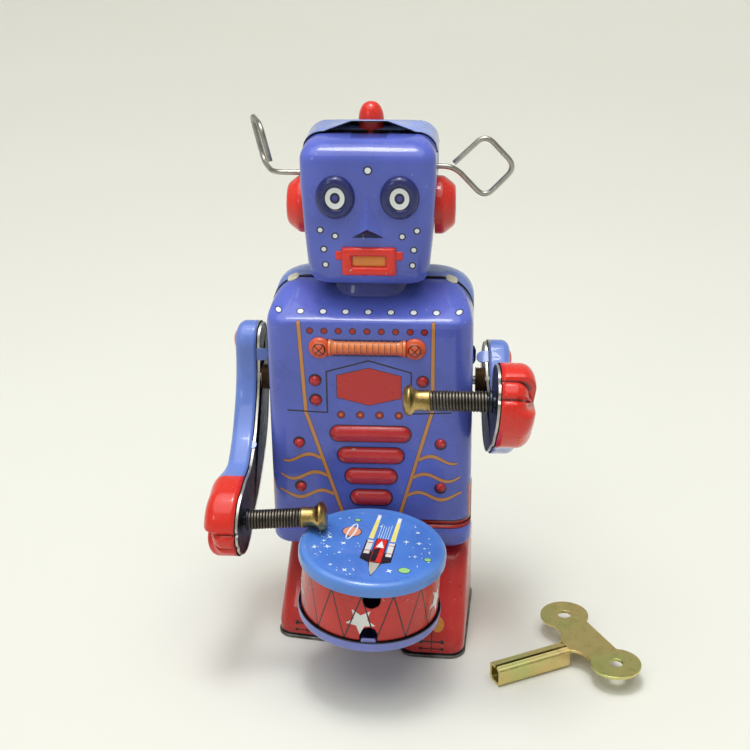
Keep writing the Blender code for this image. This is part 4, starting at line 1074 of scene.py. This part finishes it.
def build_band(inside):
    """The red band with a round-ended slot at the top and another at the bottom of its front."""
    steps = 288
    levels = [-11.2 + 23.0 * i / 46 for i in range(47)]
    points = []
    depths = []
    faces = []
    for z in levels:
        for i in range(steps):
            angle = math.tau * i / steps
            away, edge_angle, edge_z = notch_distance(angle, z)
            height = z
            if abs(away - NOTCH_RADIUS) < 0.3:
                angle, height = edge_angle, edge_z
                away = NOTCH_RADIUS
            depths.append(away)
            points.append(Vector((BAND_RADIUS * math.cos(angle), BAND_RADIUS * math.sin(angle), height)))
    for four in strips([range(steps)] * len(levels), True):
        if max(depths[k] for k in four) > NOTCH_RADIUS + 0.001:
            faces.append(four)
    used = sorted({k for face in faces for k in face})
    place = {k: n for n, k in enumerate(used)}
    shape = [points[k] for k in used], [tuple(place[k] for k in face) for face in faces]
    make("drum_wall", shape, ON_DRUM, lacquer("band_paint", (0.50, 0.010, 0.005), band_print, 1.3), "red",
         ("drum_band",), (TIN, inside))
    white = lacquer("star_paint", (0.72, 0.74, 0.74), band_print, wear=2.0)
    for number in range(-2, 3):
        angle = -94.0 + 3 * 360 / ZIGZAGS * number
        star = bent_decal(star_outline((0, 0), 4.9, inner=0.44, turn=-90), BAND_RADIUS, angle, -1.3)
        make(f"band_star_{number + 3}", star, ON_DRUM, white, "red")
    lavender = lacquer("tab_fold_paint", (0.20, 0.22, 0.58), wear=1.6)
    half = [(2.3, 0, -9.4), (2.3, 0, -8.0), (2.0, 0.25, -7.2)]
    outline = [(-u, y, z) for u, y, z in half] + list(reversed(half))
    rows = [[Vector((u, thick - BAND_RADIUS - 0.35 - y, z)) for u, y, z in outline] for thick in (0, 0.4)]
    make("drum_tab", moved(loft(rows, floor=True), spin(3.0, "Z")), ON_DRUM, lavender, "blue")


def patch(name, outlines, rise, colour):
    """Flat printed patches on the drum head, a small rise above its skin."""
    shape = merge(*[decal(outline, PRINT_Z + rise) for outline in outlines])
    make(name, shape, ON_DRUM, lacquer(f"{name}_paint", colour, wear=0.8), "drum_blue", sharp=80)


def rocket(corners):
    """Points given across and along the rocket, on the drum head's plane."""
    tail = Vector((2.9, 3.6))
    nose = Vector((0.4, -17.8))
    way = (nose - tail).normalized()
    side = Vector((-way.y, way.x))
    return [tuple(tail + way * v + side * u) for u, v in corners]


def build_rocket():
    """A made-up rocket with fins, pods, streaks and fine lines."""
    streaks = [[(2.6, 0.6), (4.2, 0.6), (3.9, -13.6), (2.7, -13.8)],
               [(-2.9, 0.2), (-4.5, 0.2), (-4.0, -14.2), (-2.9, -14.0)]]
    tails = [[(2.75, -11.0), (3.95, -11.0), (3.9, -13.9), (2.75, -14.1)],
             [(-2.95, -11.4), (-4.1, -11.4), (-4.0, -14.5), (-2.95, -14.3)]]
    fine = [[(u, -0.4), (u + 0.22, -0.4), (u + 0.18, -7.5 - abs(u)), (u, -7.5 - abs(u))]
            for u in (-1.7, -0.9, -0.1, 0.7, 1.5)]
    outline = [(-1.9, -0.4), (1.9, -0.4), (2.1, 8.0), (4.7, 1.4), (4.9, 12.6), (2.1, 14.0), (0.1, 21.8),
               (-2.1, 14.0), (-5.1, 12.4), (-4.9, 1.0), (-2.1, 8.0)]
    seams = [[(2.5, v), (4.4, v), (4.4, v + 0.35), (2.5, v + 0.35)] for v in (3.0, 7.6)]
    seams += [[(-4.5, v), (-2.6, v), (-2.6, v + 0.35), (-4.5, v + 0.35)] for v in (2.6, 7.2)]
    pods = [[(2.5, 1.6), (4.3, 1.6), (4.4, 9.6), (2.6, 9.6)],
            [(-2.6, 1.2), (-4.5, 1.2), (-4.5, 9.2), (-2.7, 9.2)]]
    cone = [(-1.7, 13.9), (1.7, 13.9), (1.0, 18.0), (0.1, 21.0), (-1.0, 18.0)]
    for name, outlines, rise, colour in (
        ("streaks", streaks, 0, (0.80, 0.72, 0.22)),
        ("tails", tails, 0.035, WHITE),
        ("lines", fine, 0, (0.55, 0.75, 0.95)),
        ("outline", [outline], 0, INK),
        ("hull", [[(-1.6, -0.1), (1.6, -0.1), (1.75, 13.4), (-1.75, 13.4)]], 0.035, RED),
        ("shade", [[(-1.5, 6.2), (0.3, 5.0), (0.1, 13.2), (-1.65, 13.2)]], 0.07, INK),
        ("arrow", [[(0.0, 1.0), (1.3, 5.0), (-1.3, 5.0)]], 0.10, WHITE),
        ("cone", [cone], 0.035, (0.42, 0.42, 0.36)),
        ("pods", pods, 0.035, (0.66, 0.68, 0.66)),
        ("seams", seams, 0.07, (0.40, 0.02, 0.02)),
    ):
        patch(f"print_{name}", [rocket(corners) for corners in outlines], rise, colour)


def build_skin_prints():
    """The rocket, a ringed planet, small moons and stars, printed on the drum head."""
    build_rocket()
    planet_x = -7.2
    planet_y = 7.0
    for name, radius, rise, colour in (("edge", 3.15, 0, INK), ("", 2.9, 0.035, (0.72, 0.30, 0.20))):
        disc = arc((planet_x, planet_y), radius, 0, 345, 23, 0.95)
        patch("print_planet" + ("_" + name if name else ""), [disc], rise, colour)
    ring_out = arc((0, 0), 5.0, 0, 350, 35, 0.26)
    ring = [(planet_x + u * 0.24 - v, planet_y + u * 0.97 + v * 0.2) for u, v in ring_out]
    slim = [(planet_x + u * 0.235 - v * 0.55, planet_y + u * 0.90 + v * 0.1) for u, v in ring_out]
    rows = [[Vector((u, v, PRINT_Z + rise)) for u, v in edge]
            for edge, rise in ((ring, 0.07), (ring, 0.10), (slim, 0.10), (slim, 0.07), (ring, 0.07))]
    paint = lacquer("print_ring_paint", WHITE, wear=0.8)
    make("print_ring", loft(rows, roof=False), ON_DRUM, paint, "drum_blue", sharp=80)
    moons = [(10.7, -13.2, 1.8), (17.7, -6.2, 1.1), (-5.9, 14.2, 0.95)]
    for name, grow, squash, rise, colour in (("print_moon_edges", 0.22, 0.8, 0, INK),
                                             ("print_moons", 0, 0.78, 0.035, (0.30, 0.60, 0.20))):
        patch(name, [arc((x, y), size + grow, 0, 340, 17, squash) for x, y, size in moons], rise, colour)

    draw = random.Random(7)
    placed = [(-18.2, -3.8, 0.85), (-14.2, -2.9, 0.95), (-9.3, -0.2, 0.9), (-10.1, -5.8, 0.6),
              (-7.6, -15.4, 0.85), (6.1, -14.1, 1.0), (10.5, 3.3, 0.85), (13.9, 9.3, 0.8),
              (14.6, 2.9, 0.85), (-13.9, 2.8, 0.9), (-15.6, 0.4, 0.6), (13.6, -5.0, 0.6), (16.4, 0.2, 0.5),
              (-12.2, -13.0, 0.6), (2.0, 11.5, 0.5)]
    stars = [star_outline((x, y), size * 1.25, 4, 0.34, draw.uniform(0, 90)) for x, y, size in placed]
    for _ in range(110):
        angle = draw.uniform(0, math.tau)
        reach = 19.6 * math.sqrt(draw.uniform(0.02, 1.0))
        x = reach * math.cos(angle)
        y = reach * math.sin(angle)
        if math.hypot(x - planet_x, y - planet_y) > 6 and not (-3.5 < x < 10 and -19 < y < 18):
            stars.append(arc((x, y), draw.uniform(0.12, 0.3), 0, 300, 5))
    patch("print_stars", stars, 0, (0.72, 0.85, 0.95))


# ---------------------------------------------------------------- arms


ARM_RIM = 39.2
ARM_DEPTH = 7.5
FIST_DEPTH = 10.9
HAND = Vector((51.2 * math.cos(math.radians(40.5)), -51.2 * math.sin(math.radians(40.5))))
SHOULDER_END = Vector((-4.3, 11.7))
ELBOW = Vector((4.0, -18.6))
STATIONS = 44
CAP_STEPS = 52
CUFF = 9.0  # from the middle of the fist back to the line where the red hand starts
GROOVES = (1.0, -29.0)  # bearings of the finger creases, in degrees
TWIST = 0.08  # how far each arm's rear edge leans in towards the body, per millimetre
SPLAY = {"left": (-1.25, 0.05), "right": (-0.7, 0.023)}  # shift outward at the pivot and per millimetre
STICK_RISE = {"left": 0.0, "right": 4.5}  # how far each stick's spring is bent up, in degrees


def limb_centre(t):
    control = 2 * ELBOW - (SHOULDER_END + HAND) / 2
    return curve(SHOULDER_END, control, HAND, t)


def limb_way(t):
    return (limb_centre(min(t + 0.01, 1)) - limb_centre(max(t - 0.01, 0))).normalized()


def smooth_step(value, low, high):
    share = min(max((value - low) / (high - low), 0), 1)
    return share * share * (3 - 2 * share)


def limb_radius(t):
    arm = 6.5 + 2.5 * smooth_step(t, 0, 0.5)
    return arm + (11.8 - arm) * smooth_step(t, 0.80, 0.96)


def limb_depth(t):
    return ARM_DEPTH + (FIST_DEPTH - ARM_DEPTH) * smooth_step(t, 0.76, 0.94)


def groove(place):
    """How deep the finger grooves are pressed at a point (forward, up) of the fist, from 0 to 1."""
    away = place - HAND
    if away.length < 1:
        return 0.0
    bearing = math.degrees(math.atan2(away.y, away.x))
    deep = max(math.exp(-(((bearing - middle) / 3.6) ** 2)) for middle in GROOVES)
    return deep * smooth_step(limb_way(1.0).dot(away), -3.0, 3.0)


def finger(place):
    """How much shallower the hand is across its fingers than over its palm, from 0 to 1."""
    away = place - HAND
    bearing = math.degrees(math.atan2(away.y, away.x))
    inner = smooth_step(-bearing, -5.0, 3.0) * (1 - smooth_step(-bearing, 42.0, 60.0))
    return inner * smooth_step(away.length, 3.0, 9.0)


def limb_outline():
    sides = []
    for i in range(STATIONS + 1):
        t = i / STATIONS
        way = limb_way(t)
        sides.append((limb_centre(t), Vector((-way.y, way.x)), limb_radius(t), t))
    outline = list(sides)
    for end, start in ((sides[-1], 1), (sides[0], -1)):
        centre, normal, radius, t = end
        for i in range(1, CAP_STEPS + 1):
            outward = Matrix.Rotation(-math.pi * i / (CAP_STEPS + 1), 2) @ (normal * start)
            outline.append((centre, outward, radius, t))
        if start == 1:
            outline += [(c, -n, r, t) for c, n, r, t in reversed(sides)]
    return outline


def splayed(word, x, place, centre):
    """The outward place of a point whose plain place is x: the arm is twisted and stands out at the hand."""
    shift, rise = SPLAY[word]
    reach = place.dot(HAND.normalized())
    return x + shift + rise * reach + TWIST * (place.x - centre.x)


def limb_ring(word, outline, inset_of, x_of):
    ring = []
    for centre, outward, radius, t in outline:
        edge = centre + outward * radius
        press = groove(edge)
        inset = inset_of(t)
        place = centre + outward * (radius - inset - 1.1 * press)
        x = x_of(t)
        if x > ARM_RIM + 0.1:
            x -= 1.0 * press + 2.4 * finger(edge) * smooth_step(x - ARM_RIM, 1.0, 8.0)
        ring.append(Vector((splayed(word, x, place, centre), -place.x, place.y)))
    return ring


def arm_shape(word):
    outline = limb_outline()
    edge = 2.9
    dome = 3.4  # the extra rounding over the hand
    rows = []
    for share in (0, 0.3, 0.65, 1.0):
        rows.append(limb_ring(word, outline, lambda t: 0.0,
                              lambda t, share=share: ARM_RIM + (limb_depth(t) - edge - grown(t)) * share))
    for inset, drop in quarter_round(9):
        rows.append(limb_ring(word, outline, lambda t, inset=inset: (edge + dome * hand_share(t)) * inset,
                              lambda t, drop=drop: ARM_RIM + limb_depth(t) - (edge + grown(t)) * drop))
    points, faces = loft(rows, roof=False)
    size = len(outline)
    start = len(points) - size
    count = STATIONS + 1
    far = start + 2 * count + CAP_STEPS - 1
    for i in range(count - 1):
        faces.append((start + i, start + i + 1, far - i - 1, far - i))
    for first, centre, depth in ((start + count - 1, HAND, limb_depth(1.0)),
                                 (far, SHOULDER_END, limb_depth(0.0))):
        hub = len(points)
        points.append(Vector((splayed(word, ARM_RIM + depth, centre, centre), -centre.x, centre.y)))
        ring = [start + (first - start + i) % size for i in range(CAP_STEPS + 2)]
        faces += [(a, b, hub) for a, b in zip(ring, ring[1:])]
    return points, faces


def hand_share(t):
    return smooth_step(t, 0.78, 0.96)


def grown(t):
    """How much further down the hand's rounding reaches than the arm's."""
    return 1.7 * hand_share(t)


def arm_print(paint):
    """The red hand from a straight cuff, with painted shade in its finger grooves, on the pale blue arm."""
    flat = paint.flat(paint.times(paint.y, -1.0), paint.z)
    away = paint.vector("SUBTRACT", flat, (*HAND, 0))
    reach = paint.vector("DOT_PRODUCT", away, (*limb_way(0.9), 0))
    hand = paint.above(reach, -CUFF, 0.1)
    split = paint.tree.nodes.new("ShaderNodeSeparateXYZ")
    paint.link(away, split.inputs[0])
    bearing = paint.times(paint.math("ARCTAN2", split.outputs[1], split.outputs[0]), 180 / math.pi)
    creases = paint.nearest(*[paint.size(paint.minus(bearing, middle)) for middle in GROOVES])
    out = paint.above(paint.vector("LENGTH", away), 6.5, 1.5)
    # The dark red in the finger creases is painted shade.
    return [(hand, RED), (paint.both(hand, paint.below(creases, 1.5, 1.6), out), (0.12, 0.006, 0.006))]


def worn_rim(paint):
    """Ink lost along the arm's open edge."""
    across = paint.minus(paint.size(paint.x), ARM_RIM)
    return paint.below(paint.math("MULTIPLY_ADD", paint.noise(0.8, 3.0), 1.6, across), 0.45, 0.2)


def coil(length, radius, wire, pitch, side_steps=16):
    turns = length / pitch
    steps = int(turns * side_steps)
    path = []
    for i in range(steps + 1):
        angle = math.tau * turns * i / steps
        path.append(Vector((length * i / steps, radius * math.cos(angle), radius * math.sin(angle))))
    return tube(path, wire, 8)


def build_arm(word, red, brass, hub_brass, dark, spring, bare, inside):
    outline = limb_outline()

    def put(name, shape, material, slot, nodes=(), **more):
        make(f"{name}_{word}", mirrored(shape, SIDES[word]), (ARMS[word], f"arm_{word}"), material, slot,
             [f"{node}_{word}" for node in nodes], **more)

    def flat_rows(steps):
        return [limb_ring(word, outline, lambda t, inset=inset: inset, lambda t, x=x: x)
                for inset, x in steps]

    paint = lacquer(f"arm_paint_{word}", PALE_BLUE, arm_print, 1.3, worn_rim)
    put("arm_cover", arm_shape(word), paint, "pale_blue", ["arm_shell"], sheet=(TIN, inside))
    plate = flat_rows([(1.0, 38.35), (1.0, 38.8)])
    put("arm_back", loft(plate, floor=True), dark, "dark_tin", ["arm_plate"], bevel=0.1)
    lip = flat_rows([(0.55, 38.2), (0.55, 38.95), (1.0, 38.95), (1.0, 38.2), (0.55, 38.2)])
    put("arm_lip", loft(lip, roof=False), bare, "bare_tin", sharp=60)

    hub = [(33.9, 1.8), (33.9, 4.3)]
    ribs = 6
    for i in range(ribs * 8 + 1):
        t = i / (ribs * 8)
        hub.append((34.1 + 3.0 * t, 4.4 - 0.2 * (1 - math.cos(math.tau * ribs * t))))
    hub += [(37.3, 4.3), (37.3, 1.8)]
    put("shoulder_wheel", turned(hub, 56), hub_brass, "brass", ["shoulder_hub"])

    outer = splayed(word, ARM_RIM + ARM_DEPTH, SHOULDER_END, SHOULDER_END) - 0.1
    cap = [(outer, 0), (outer, 3.3)] + [(outer + v, u) for u, v in arc((0, 0), 3.3, 8, 82, 8, 0.42)]
    cap.append((outer + 1.4, 0))
    put("shoulder_dome", moved(turned(cap, 40), spot(0, -SHOULDER_END.x, SHOULDER_END.y)), red, "red",
        ["shoulder_cap"])
    build_stick(word, put, brass, dark, spring)

    pale = lacquer(f"fold_paint_{word}", PALE_BLUE, wear=1.6)
    for number, (t, reach, half) in enumerate(((0.035, 3.9, 2.2), (0.66, 1.6, 1.6)), 1):
        way = limb_way(t)
        normal = Vector((-way.y, way.x))
        edge = limb_centre(t) + normal * (limb_radius(t) - 0.2)
        x_edge = splayed(word, ARM_RIM + 0.5, edge, limb_centre(t))
        tab = [(0.0, -half)] + arc((reach - half * 0.7, 0), half, -90, 90, 12) + [(0.0, half)]
        rows = []
        for thick in (0.0, 0.45):
            row = []
            for u, v in tab:
                on_tab = edge - normal * (thick + 0.1 * u) + way * v
                row.append(Vector((x_edge - max(u, 0), -on_tab.x, on_tab.y)))
            rows.append(row)
        make(f"arm_fold_{word}_{number}", mirrored(loft(rows, floor=True), SIDES[word]),
             (ARMS[word], f"arm_{word}"), pale, "pale_blue", bevel=0.1)


def build_stick(word, put, brass, dark, spring):
    """The drumstick inside the fist: its washer, wound spring, core and turned tip."""
    root = splayed(word, 38.3, HAND, HAND)
    coil_start = 20.5
    at_hand = spot(0, -HAND.x, HAND.y)
    flexed = at_hand @ spot(36.6, 0, 0) @ spin(STICK_RISE[word], "Y") @ spot(-36.6, 0, 0)
    washer = [(root - 1.3, 0), (root - 1.3, 3.3), (root - 1.0, 3.6), (root - 0.5, 3.6), (root - 0.2, 3.3),
              (root - 0.2, 1.9), (root + 2.4, 1.9), (root + 2.4, 0)]
    put("stick_washer", moved(turned(washer, 40), at_hand), dark, "dark_tin", ["stick_socket"])
    wound = coil(root - 1.4 - coil_start, 2.75, 0.475, 0.96)
    put("stick_coil", moved(wound, flexed @ spot(coil_start, 0, 0)), spring, "spring_steel", ["stick_spring"])
    core = [(20.6, 0), (20.6, 2.35), (root - 1.5, 2.35), (root - 1.5, 0)]
    put("stick_core", moved(turned(core, 32), flexed), dark, "spring_steel")
    tip = [(20.9, 0), (20.9, 2.9), (20.4, 3.35), (19.6, 3.3), (17.0, 3.2), (16.0, 3.45), (15.2, 4.2),
           (14.7, 4.78), (14.1, 4.8), (13.3, 4.3), (12.7, 3.3), (12.4, 1.8), (12.35, 0)]
    knob = turned(rounded(tip, 0.45, 4), 56)
    put("stick_knob", moved(knob, flexed), brass, "brass", ["stick_tip"], sharp=50)


# ---------------------------------------------------------------- shoes


TOE = -30.0
HEEL = 17.0
SHOE_HALF = 10.6
SHOE_TOP = 31.5


def shoe_row(z, inset=0.0, corner_round=5.2):
    share = max((z - 5.0) / (SHOE_TOP - 5.0), 0)
    front = TOE + 19.5 * share
    return full_ring(SHOE_HALF - inset, front + inset, HEEL - inset, corner_round - inset / 2, z)


def shoe_print(paint):
    """Two lace bars with a dot at each end, a line up the instep, and an orange disc."""
    front = paint.below(paint.y, -2.0)
    plane = paint.flat(paint.x, paint.z)
    drawn = []
    for height in (3.4, 5.8):
        ends = paint.nearest(*[paint.away(plane, x, height) for x in (-3.6, 3.6)])
        drawn.append((paint.below(paint.along(plane, (-3.6, height), (3.6, height)), 0.2, 0.1), INK))
        drawn.append((paint.below(ends, 0.6), INK))
    drawn.append((paint.below(paint.along(plane, (0, 2.4), (0, 10.0)), 0.16, 0.1), INK))
    drawn.append((paint.below(paint.away(plane, 1.8, 10.5), 2.1), (0.62, 0.25, 0.04)))
    return paint.within(front, drawn) + [(paint.below(paint.z, 1.9, 0.25), INK)]


def build_shoe(word, sole, inside):
    seat = (SHOES[word], f"leg_{word}")
    edge = 3.4
    rows = [shoe_row(z) for z in (1.5, 2.2, 3.6, 5.0, 12.0, 20.0, SHOE_TOP - edge)]
    rows += [shoe_row(SHOE_TOP - edge * drop, edge * inset) for inset, drop in quarter_round(8)]
    paint = lacquer(f"shoe_paint_{word}", (0.50, 0.014, 0.012), shoe_print, 1.2)
    make(f"shoe_{word}", loft(rows), seat, paint, "red", (f"foot_shell_{word}",), (TIN, inside))
    rows = [full_ring(SHOE_HALF + grow, TOE - grow, HEEL + grow, 5.6, z)
            for grow, z in ((0.1, 0.0), (0.45, 0.15), (0.5, 0.6), (0.45, 1.05), (0.1, 1.2))]
    make(f"sole_{word}", loft(rows, floor=True), seat, sole, "bare_tin", (f"sole_plate_{word}",), sharp=60)


# ---------------------------------------------------------------- key


KEY_LOBE = 8.2
LOBE_V = 16.0  # from the middle of the bow to the middle of each lobe
KEY_TOP = 6.9
KEY_WALL = 1.0


def key_outline():
    """The key's bow: two round lobes, and a neck that narrows to the barrel."""
    front_lean = 38
    back_lean = math.degrees(math.acos(4.6 / KEY_LOBE))
    outline = arc((0, LOBE_V), KEY_LOBE, -front_lean, 180 + back_lean, 40)
    outline += arc((0, -LOBE_V), KEY_LOBE, 180 - back_lean, 360 + front_lean, 40)
    upper = Vector(outline[0])
    lower = Vector(outline[-1])
    root = 9.5
    outline += [tuple(curve(lower, Vector((6.2, -5.4)), Vector((root, -3.3)), i / 8)) for i in range(1, 9)]
    return outline + [tuple(curve(Vector((root, 3.3)), Vector((6.2, 5.4)), upper, i / 8)) for i in range(8)]


def key_bow():
    """The flat bow with its two holes, as points and faces."""
    loops = [key_outline()] + [arc((0, v), 2.2, 0, 352.5, 47) for v in (LOBE_V, -LOBE_V)]
    lows, highs = [[[Vector((u, v, z)) for u, v in loop] for loop in loops]
                   for z in (KEY_TOP - KEY_WALL, KEY_TOP)]
    form = bmesh.new()
    for level in (lows, highs):
        edges = []
        for loop in level:
            verts = [form.verts.new(p * MM) for p in loop]
            edges += [form.edges.new((a, b)) for a, b in zip(verts, verts[1:] + verts[:1])]
        bmesh.ops.triangle_fill(form, use_beauty=True, use_dissolve=False, edges=edges)
    for low, high in zip(lows, highs):
        verts = [form.verts.new(p * MM) for p in low + high]
        for side in strips([low, high], True):
            form.faces.new([verts[i] for i in side])
    bmesh.ops.remove_doubles(form, verts=form.verts, dist=0.001 * MM)
    bmesh.ops.recalc_face_normals(form, faces=form.faces)
    mesh = bpy.data.meshes.new("winder")
    form.to_mesh(mesh)
    form.free()
    return [v.co / MM for v in mesh.vertices], [tuple(p.vertices) for p in mesh.polygons]


def build_key(zinc):
    """The bow and the folded square barrel, which is open along its top."""
    seat = (KEY, "key")
    make("winder_bow", key_bow(), seat, zinc, "zinc", ("winding_key",), bevel=0.16, sharp=50)
    section = [(0.1, KEY_TOP)]
    for u, v, start in ((-1.9, 5.2, 90), (-1.9, 1.4, 180), (1.9, 1.4, 270), (1.9, 5.2, 0)):
        section += arc((u, v), 1.4, start, start + 90, 5)
    section.append((1.15, KEY_TOP))
    middle = 3.3
    shrink = (middle - KEY_WALL) / middle
    inner = []
    for u, v in reversed(section):
        in_slit = v > KEY_TOP - 0.01
        inner.append((u if in_slit else u * shrink, middle + (v - middle) * shrink))
    rows = [[Vector((x, u, v)) for u, v in section + inner] for x in (9.4, 10.0, 20.0, 35.4, 36.0)]
    make("winder_barrel", loft(rows, floor=True), seat, zinc, "zinc", bevel=0.1, sharp=50)


# ---------------------------------------------------------------- carried-over CAD pieces


def dress_clockwork(steel, brass, tin, spring):
    """Metals for the CAD pieces that are kept as they are."""
    pillars = [f"motor_pillar_{number}" for number in range(1, 5)]
    for material, nodes in (
        (tin, ["motor_plate_left", "motor_plate_right", "leg_link_left", "leg_link_right", "drum_bracket"]),
        (brass, ["great_wheel", "crank_wheel", "escape_wheel"]),
        (steel, pillars + ["winding_arbor", "crank_arbor", "crank_disc_left", "crank_disc_right",
                           "escape_arbor", "governor_anchor", "arm_shaft_left", "arm_shaft_right"]),
        (spring, ["mainspring"]),
    ):
        for node in nodes:
            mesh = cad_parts[node].data
            mesh.materials.clear()
            mesh.materials.append(material)


# ---------------------------------------------------------------- floor, light and camera


def build_stage():
    """A round pale floor that sweeps up into a wall."""
    flat = 1800
    bend = 1200
    wall_top = 3200
    mesh = bpy.data.meshes.new("floor")
    sweep = [(0, 0)] + [(v, u) for u, v in arc((flat, bend), bend, -90, 0, 16)] + [(wall_top, flat + bend)]
    points, faces = turned(sweep, 96, "Z")
    mesh.from_pydata([tuple(p * MM) for p in points], [], faces)
    for face in mesh.polygons:
        face.use_smooth = True
    floor = bpy.data.objects.new("floor", mesh)
    paint = Paint("floor_paper")
    cloud = paint.noise(0.004, 2.0)
    colour = paint.mix(cloud, (0.71, 0.71, 0.655), (0.74, 0.745, 0.70))
    mesh.materials.append(paint.finish(colour, 0.6))
    bpy.context.scene.collection.objects.link(floor)


def add_light(kind, name, place, target, power, colour=(1, 1, 1)):
    light = bpy.data.lights.new(name, kind)
    light.energy = power
    light.color = colour
    lamp = bpy.data.objects.new(name, light)
    lamp.location = place
    lamp.rotation_euler = (Vector(target) - Vector(place)).to_track_quat("-Z", "Y").to_euler()
    bpy.context.scene.collection.objects.link(lamp)
    return light


def build_lights():
    """A wide soft sun from above, a pale sky, and two soft boxes for the highlights on the varnish."""
    bpy.context.scene.view_settings.view_transform = "Standard"
    world = bpy.data.worlds.new("studio")
    bpy.context.scene.world = world
    world.use_nodes = True
    background = world.node_tree.nodes["Background"]
    background.inputs["Color"].default_value = (1.0, 0.99, 0.93, 1)
    background.inputs["Strength"].default_value = 0.30
    middle = (ORIGIN.x * MM, ORIGIN.y * MM, 0.09)
    sun = add_light("SUN", "soft_top", (-0.10, -0.16, 1.0), (0, 0, 0), 2.05, (1.0, 1.0, 0.97))
    sun.angle = math.radians(70)
    for name, place, size, power in (
        ("top_box", (-0.05, -0.02, 0.75), 0.19, 1.9),
        ("front_box", (-0.45, -0.75, 0.55), 0.2, 0.6),
    ):
        add_light("AREA", name, place, middle, power).size = size


def build_camera():
    elevation = math.radians(23.5)
    azimuth = math.radians(4.3)
    roll = math.radians(-0.7)
    distance = 490
    back = Vector((math.sin(azimuth) * math.cos(elevation), -math.cos(azimuth) * math.cos(elevation),
                   math.sin(elevation)))
    aim = ORIGIN + Vector((0.5, 0, 88.2))
    right = (-back).cross(Vector((0, 0, 1))).normalized()
    up = right.cross(-back)
    turned_right = right * math.cos(roll) + up * math.sin(roll)
    turned_up = -right * math.sin(roll) + up * math.cos(roll)
    turn = Matrix((turned_right, turned_up, back)).transposed()
    camera_data = bpy.data.cameras.new("camera")
    camera_data.lens = 70.32
    camera_data.sensor_width = 36
    camera_data.clip_start = 0.01
    camera = bpy.data.objects.new("camera", camera_data)
    camera.matrix_world = Matrix.Translation((aim + back * distance) * MM) @ turn.to_4x4()
    bpy.context.scene.collection.objects.link(camera)
    bpy.context.scene.camera = camera


# ---------------------------------------------------------------- the whole toy


def build_all():
    inside = plain_inside()
    red = lacquer("red_lacquer", RED, wear=1.2)
    wire = metal("wire_steel", (0.50, 0.49, 0.46), (0.16, 0.13, 0.10))
    steel = metal("plain_steel", (0.42, 0.42, 0.41), (0.18, 0.16, 0.14))
    spring = metal("spring_steel", (0.15, 0.135, 0.115), (0.05, 0.042, 0.035), (0.34, 0.5))
    brass = metal("worn_brass", (0.60, 0.43, 0.16), (0.18, 0.12, 0.04), (0.22, 0.4), dull=0.9)
    hub_brass = metal("aged_brass", (0.30, 0.21, 0.11), (0.08, 0.06, 0.05), (0.35, 0.55), dull=0.9)
    tin = metal("bare_tin", (0.58, 0.57, 0.54), (0.25, 0.22, 0.18), (0.25, 0.45))
    sole = metal("sole_tin", (0.30, 0.30, 0.29), (0.05, 0.05, 0.05), (0.3, 0.5), dull=1.0)
    dark = metal("dark_tin", (0.07, 0.08, 0.10), (0.02, 0.02, 0.03), (0.3, 0.5), dull=1.0)
    zinc = metal("yellow_zinc", (0.80, 0.66, 0.28), (0.42, 0.33, 0.10), (0.24, 0.42), dull=0.5,
                 tint=(((0.86, 0.42, 0.26), 0.07, 0.8), ((0.52, 0.62, 0.22), 0.06, 0.8)))
    build_body(inside)
    build_pan(inside)
    build_chest_fittings()
    build_head(inside)
    build_head_fittings(red)
    build_aerials(wire)
    build_drum(inside)
    for word in SIDES:
        build_arm(word, red, brass, hub_brass, dark, spring, tin, inside)
        build_shoe(word, sole, inside)
    build_key(zinc)
    dress_clockwork(steel, hub_brass, tin, spring)
    build_stage()
    build_lights()
    build_camera()


build_all()
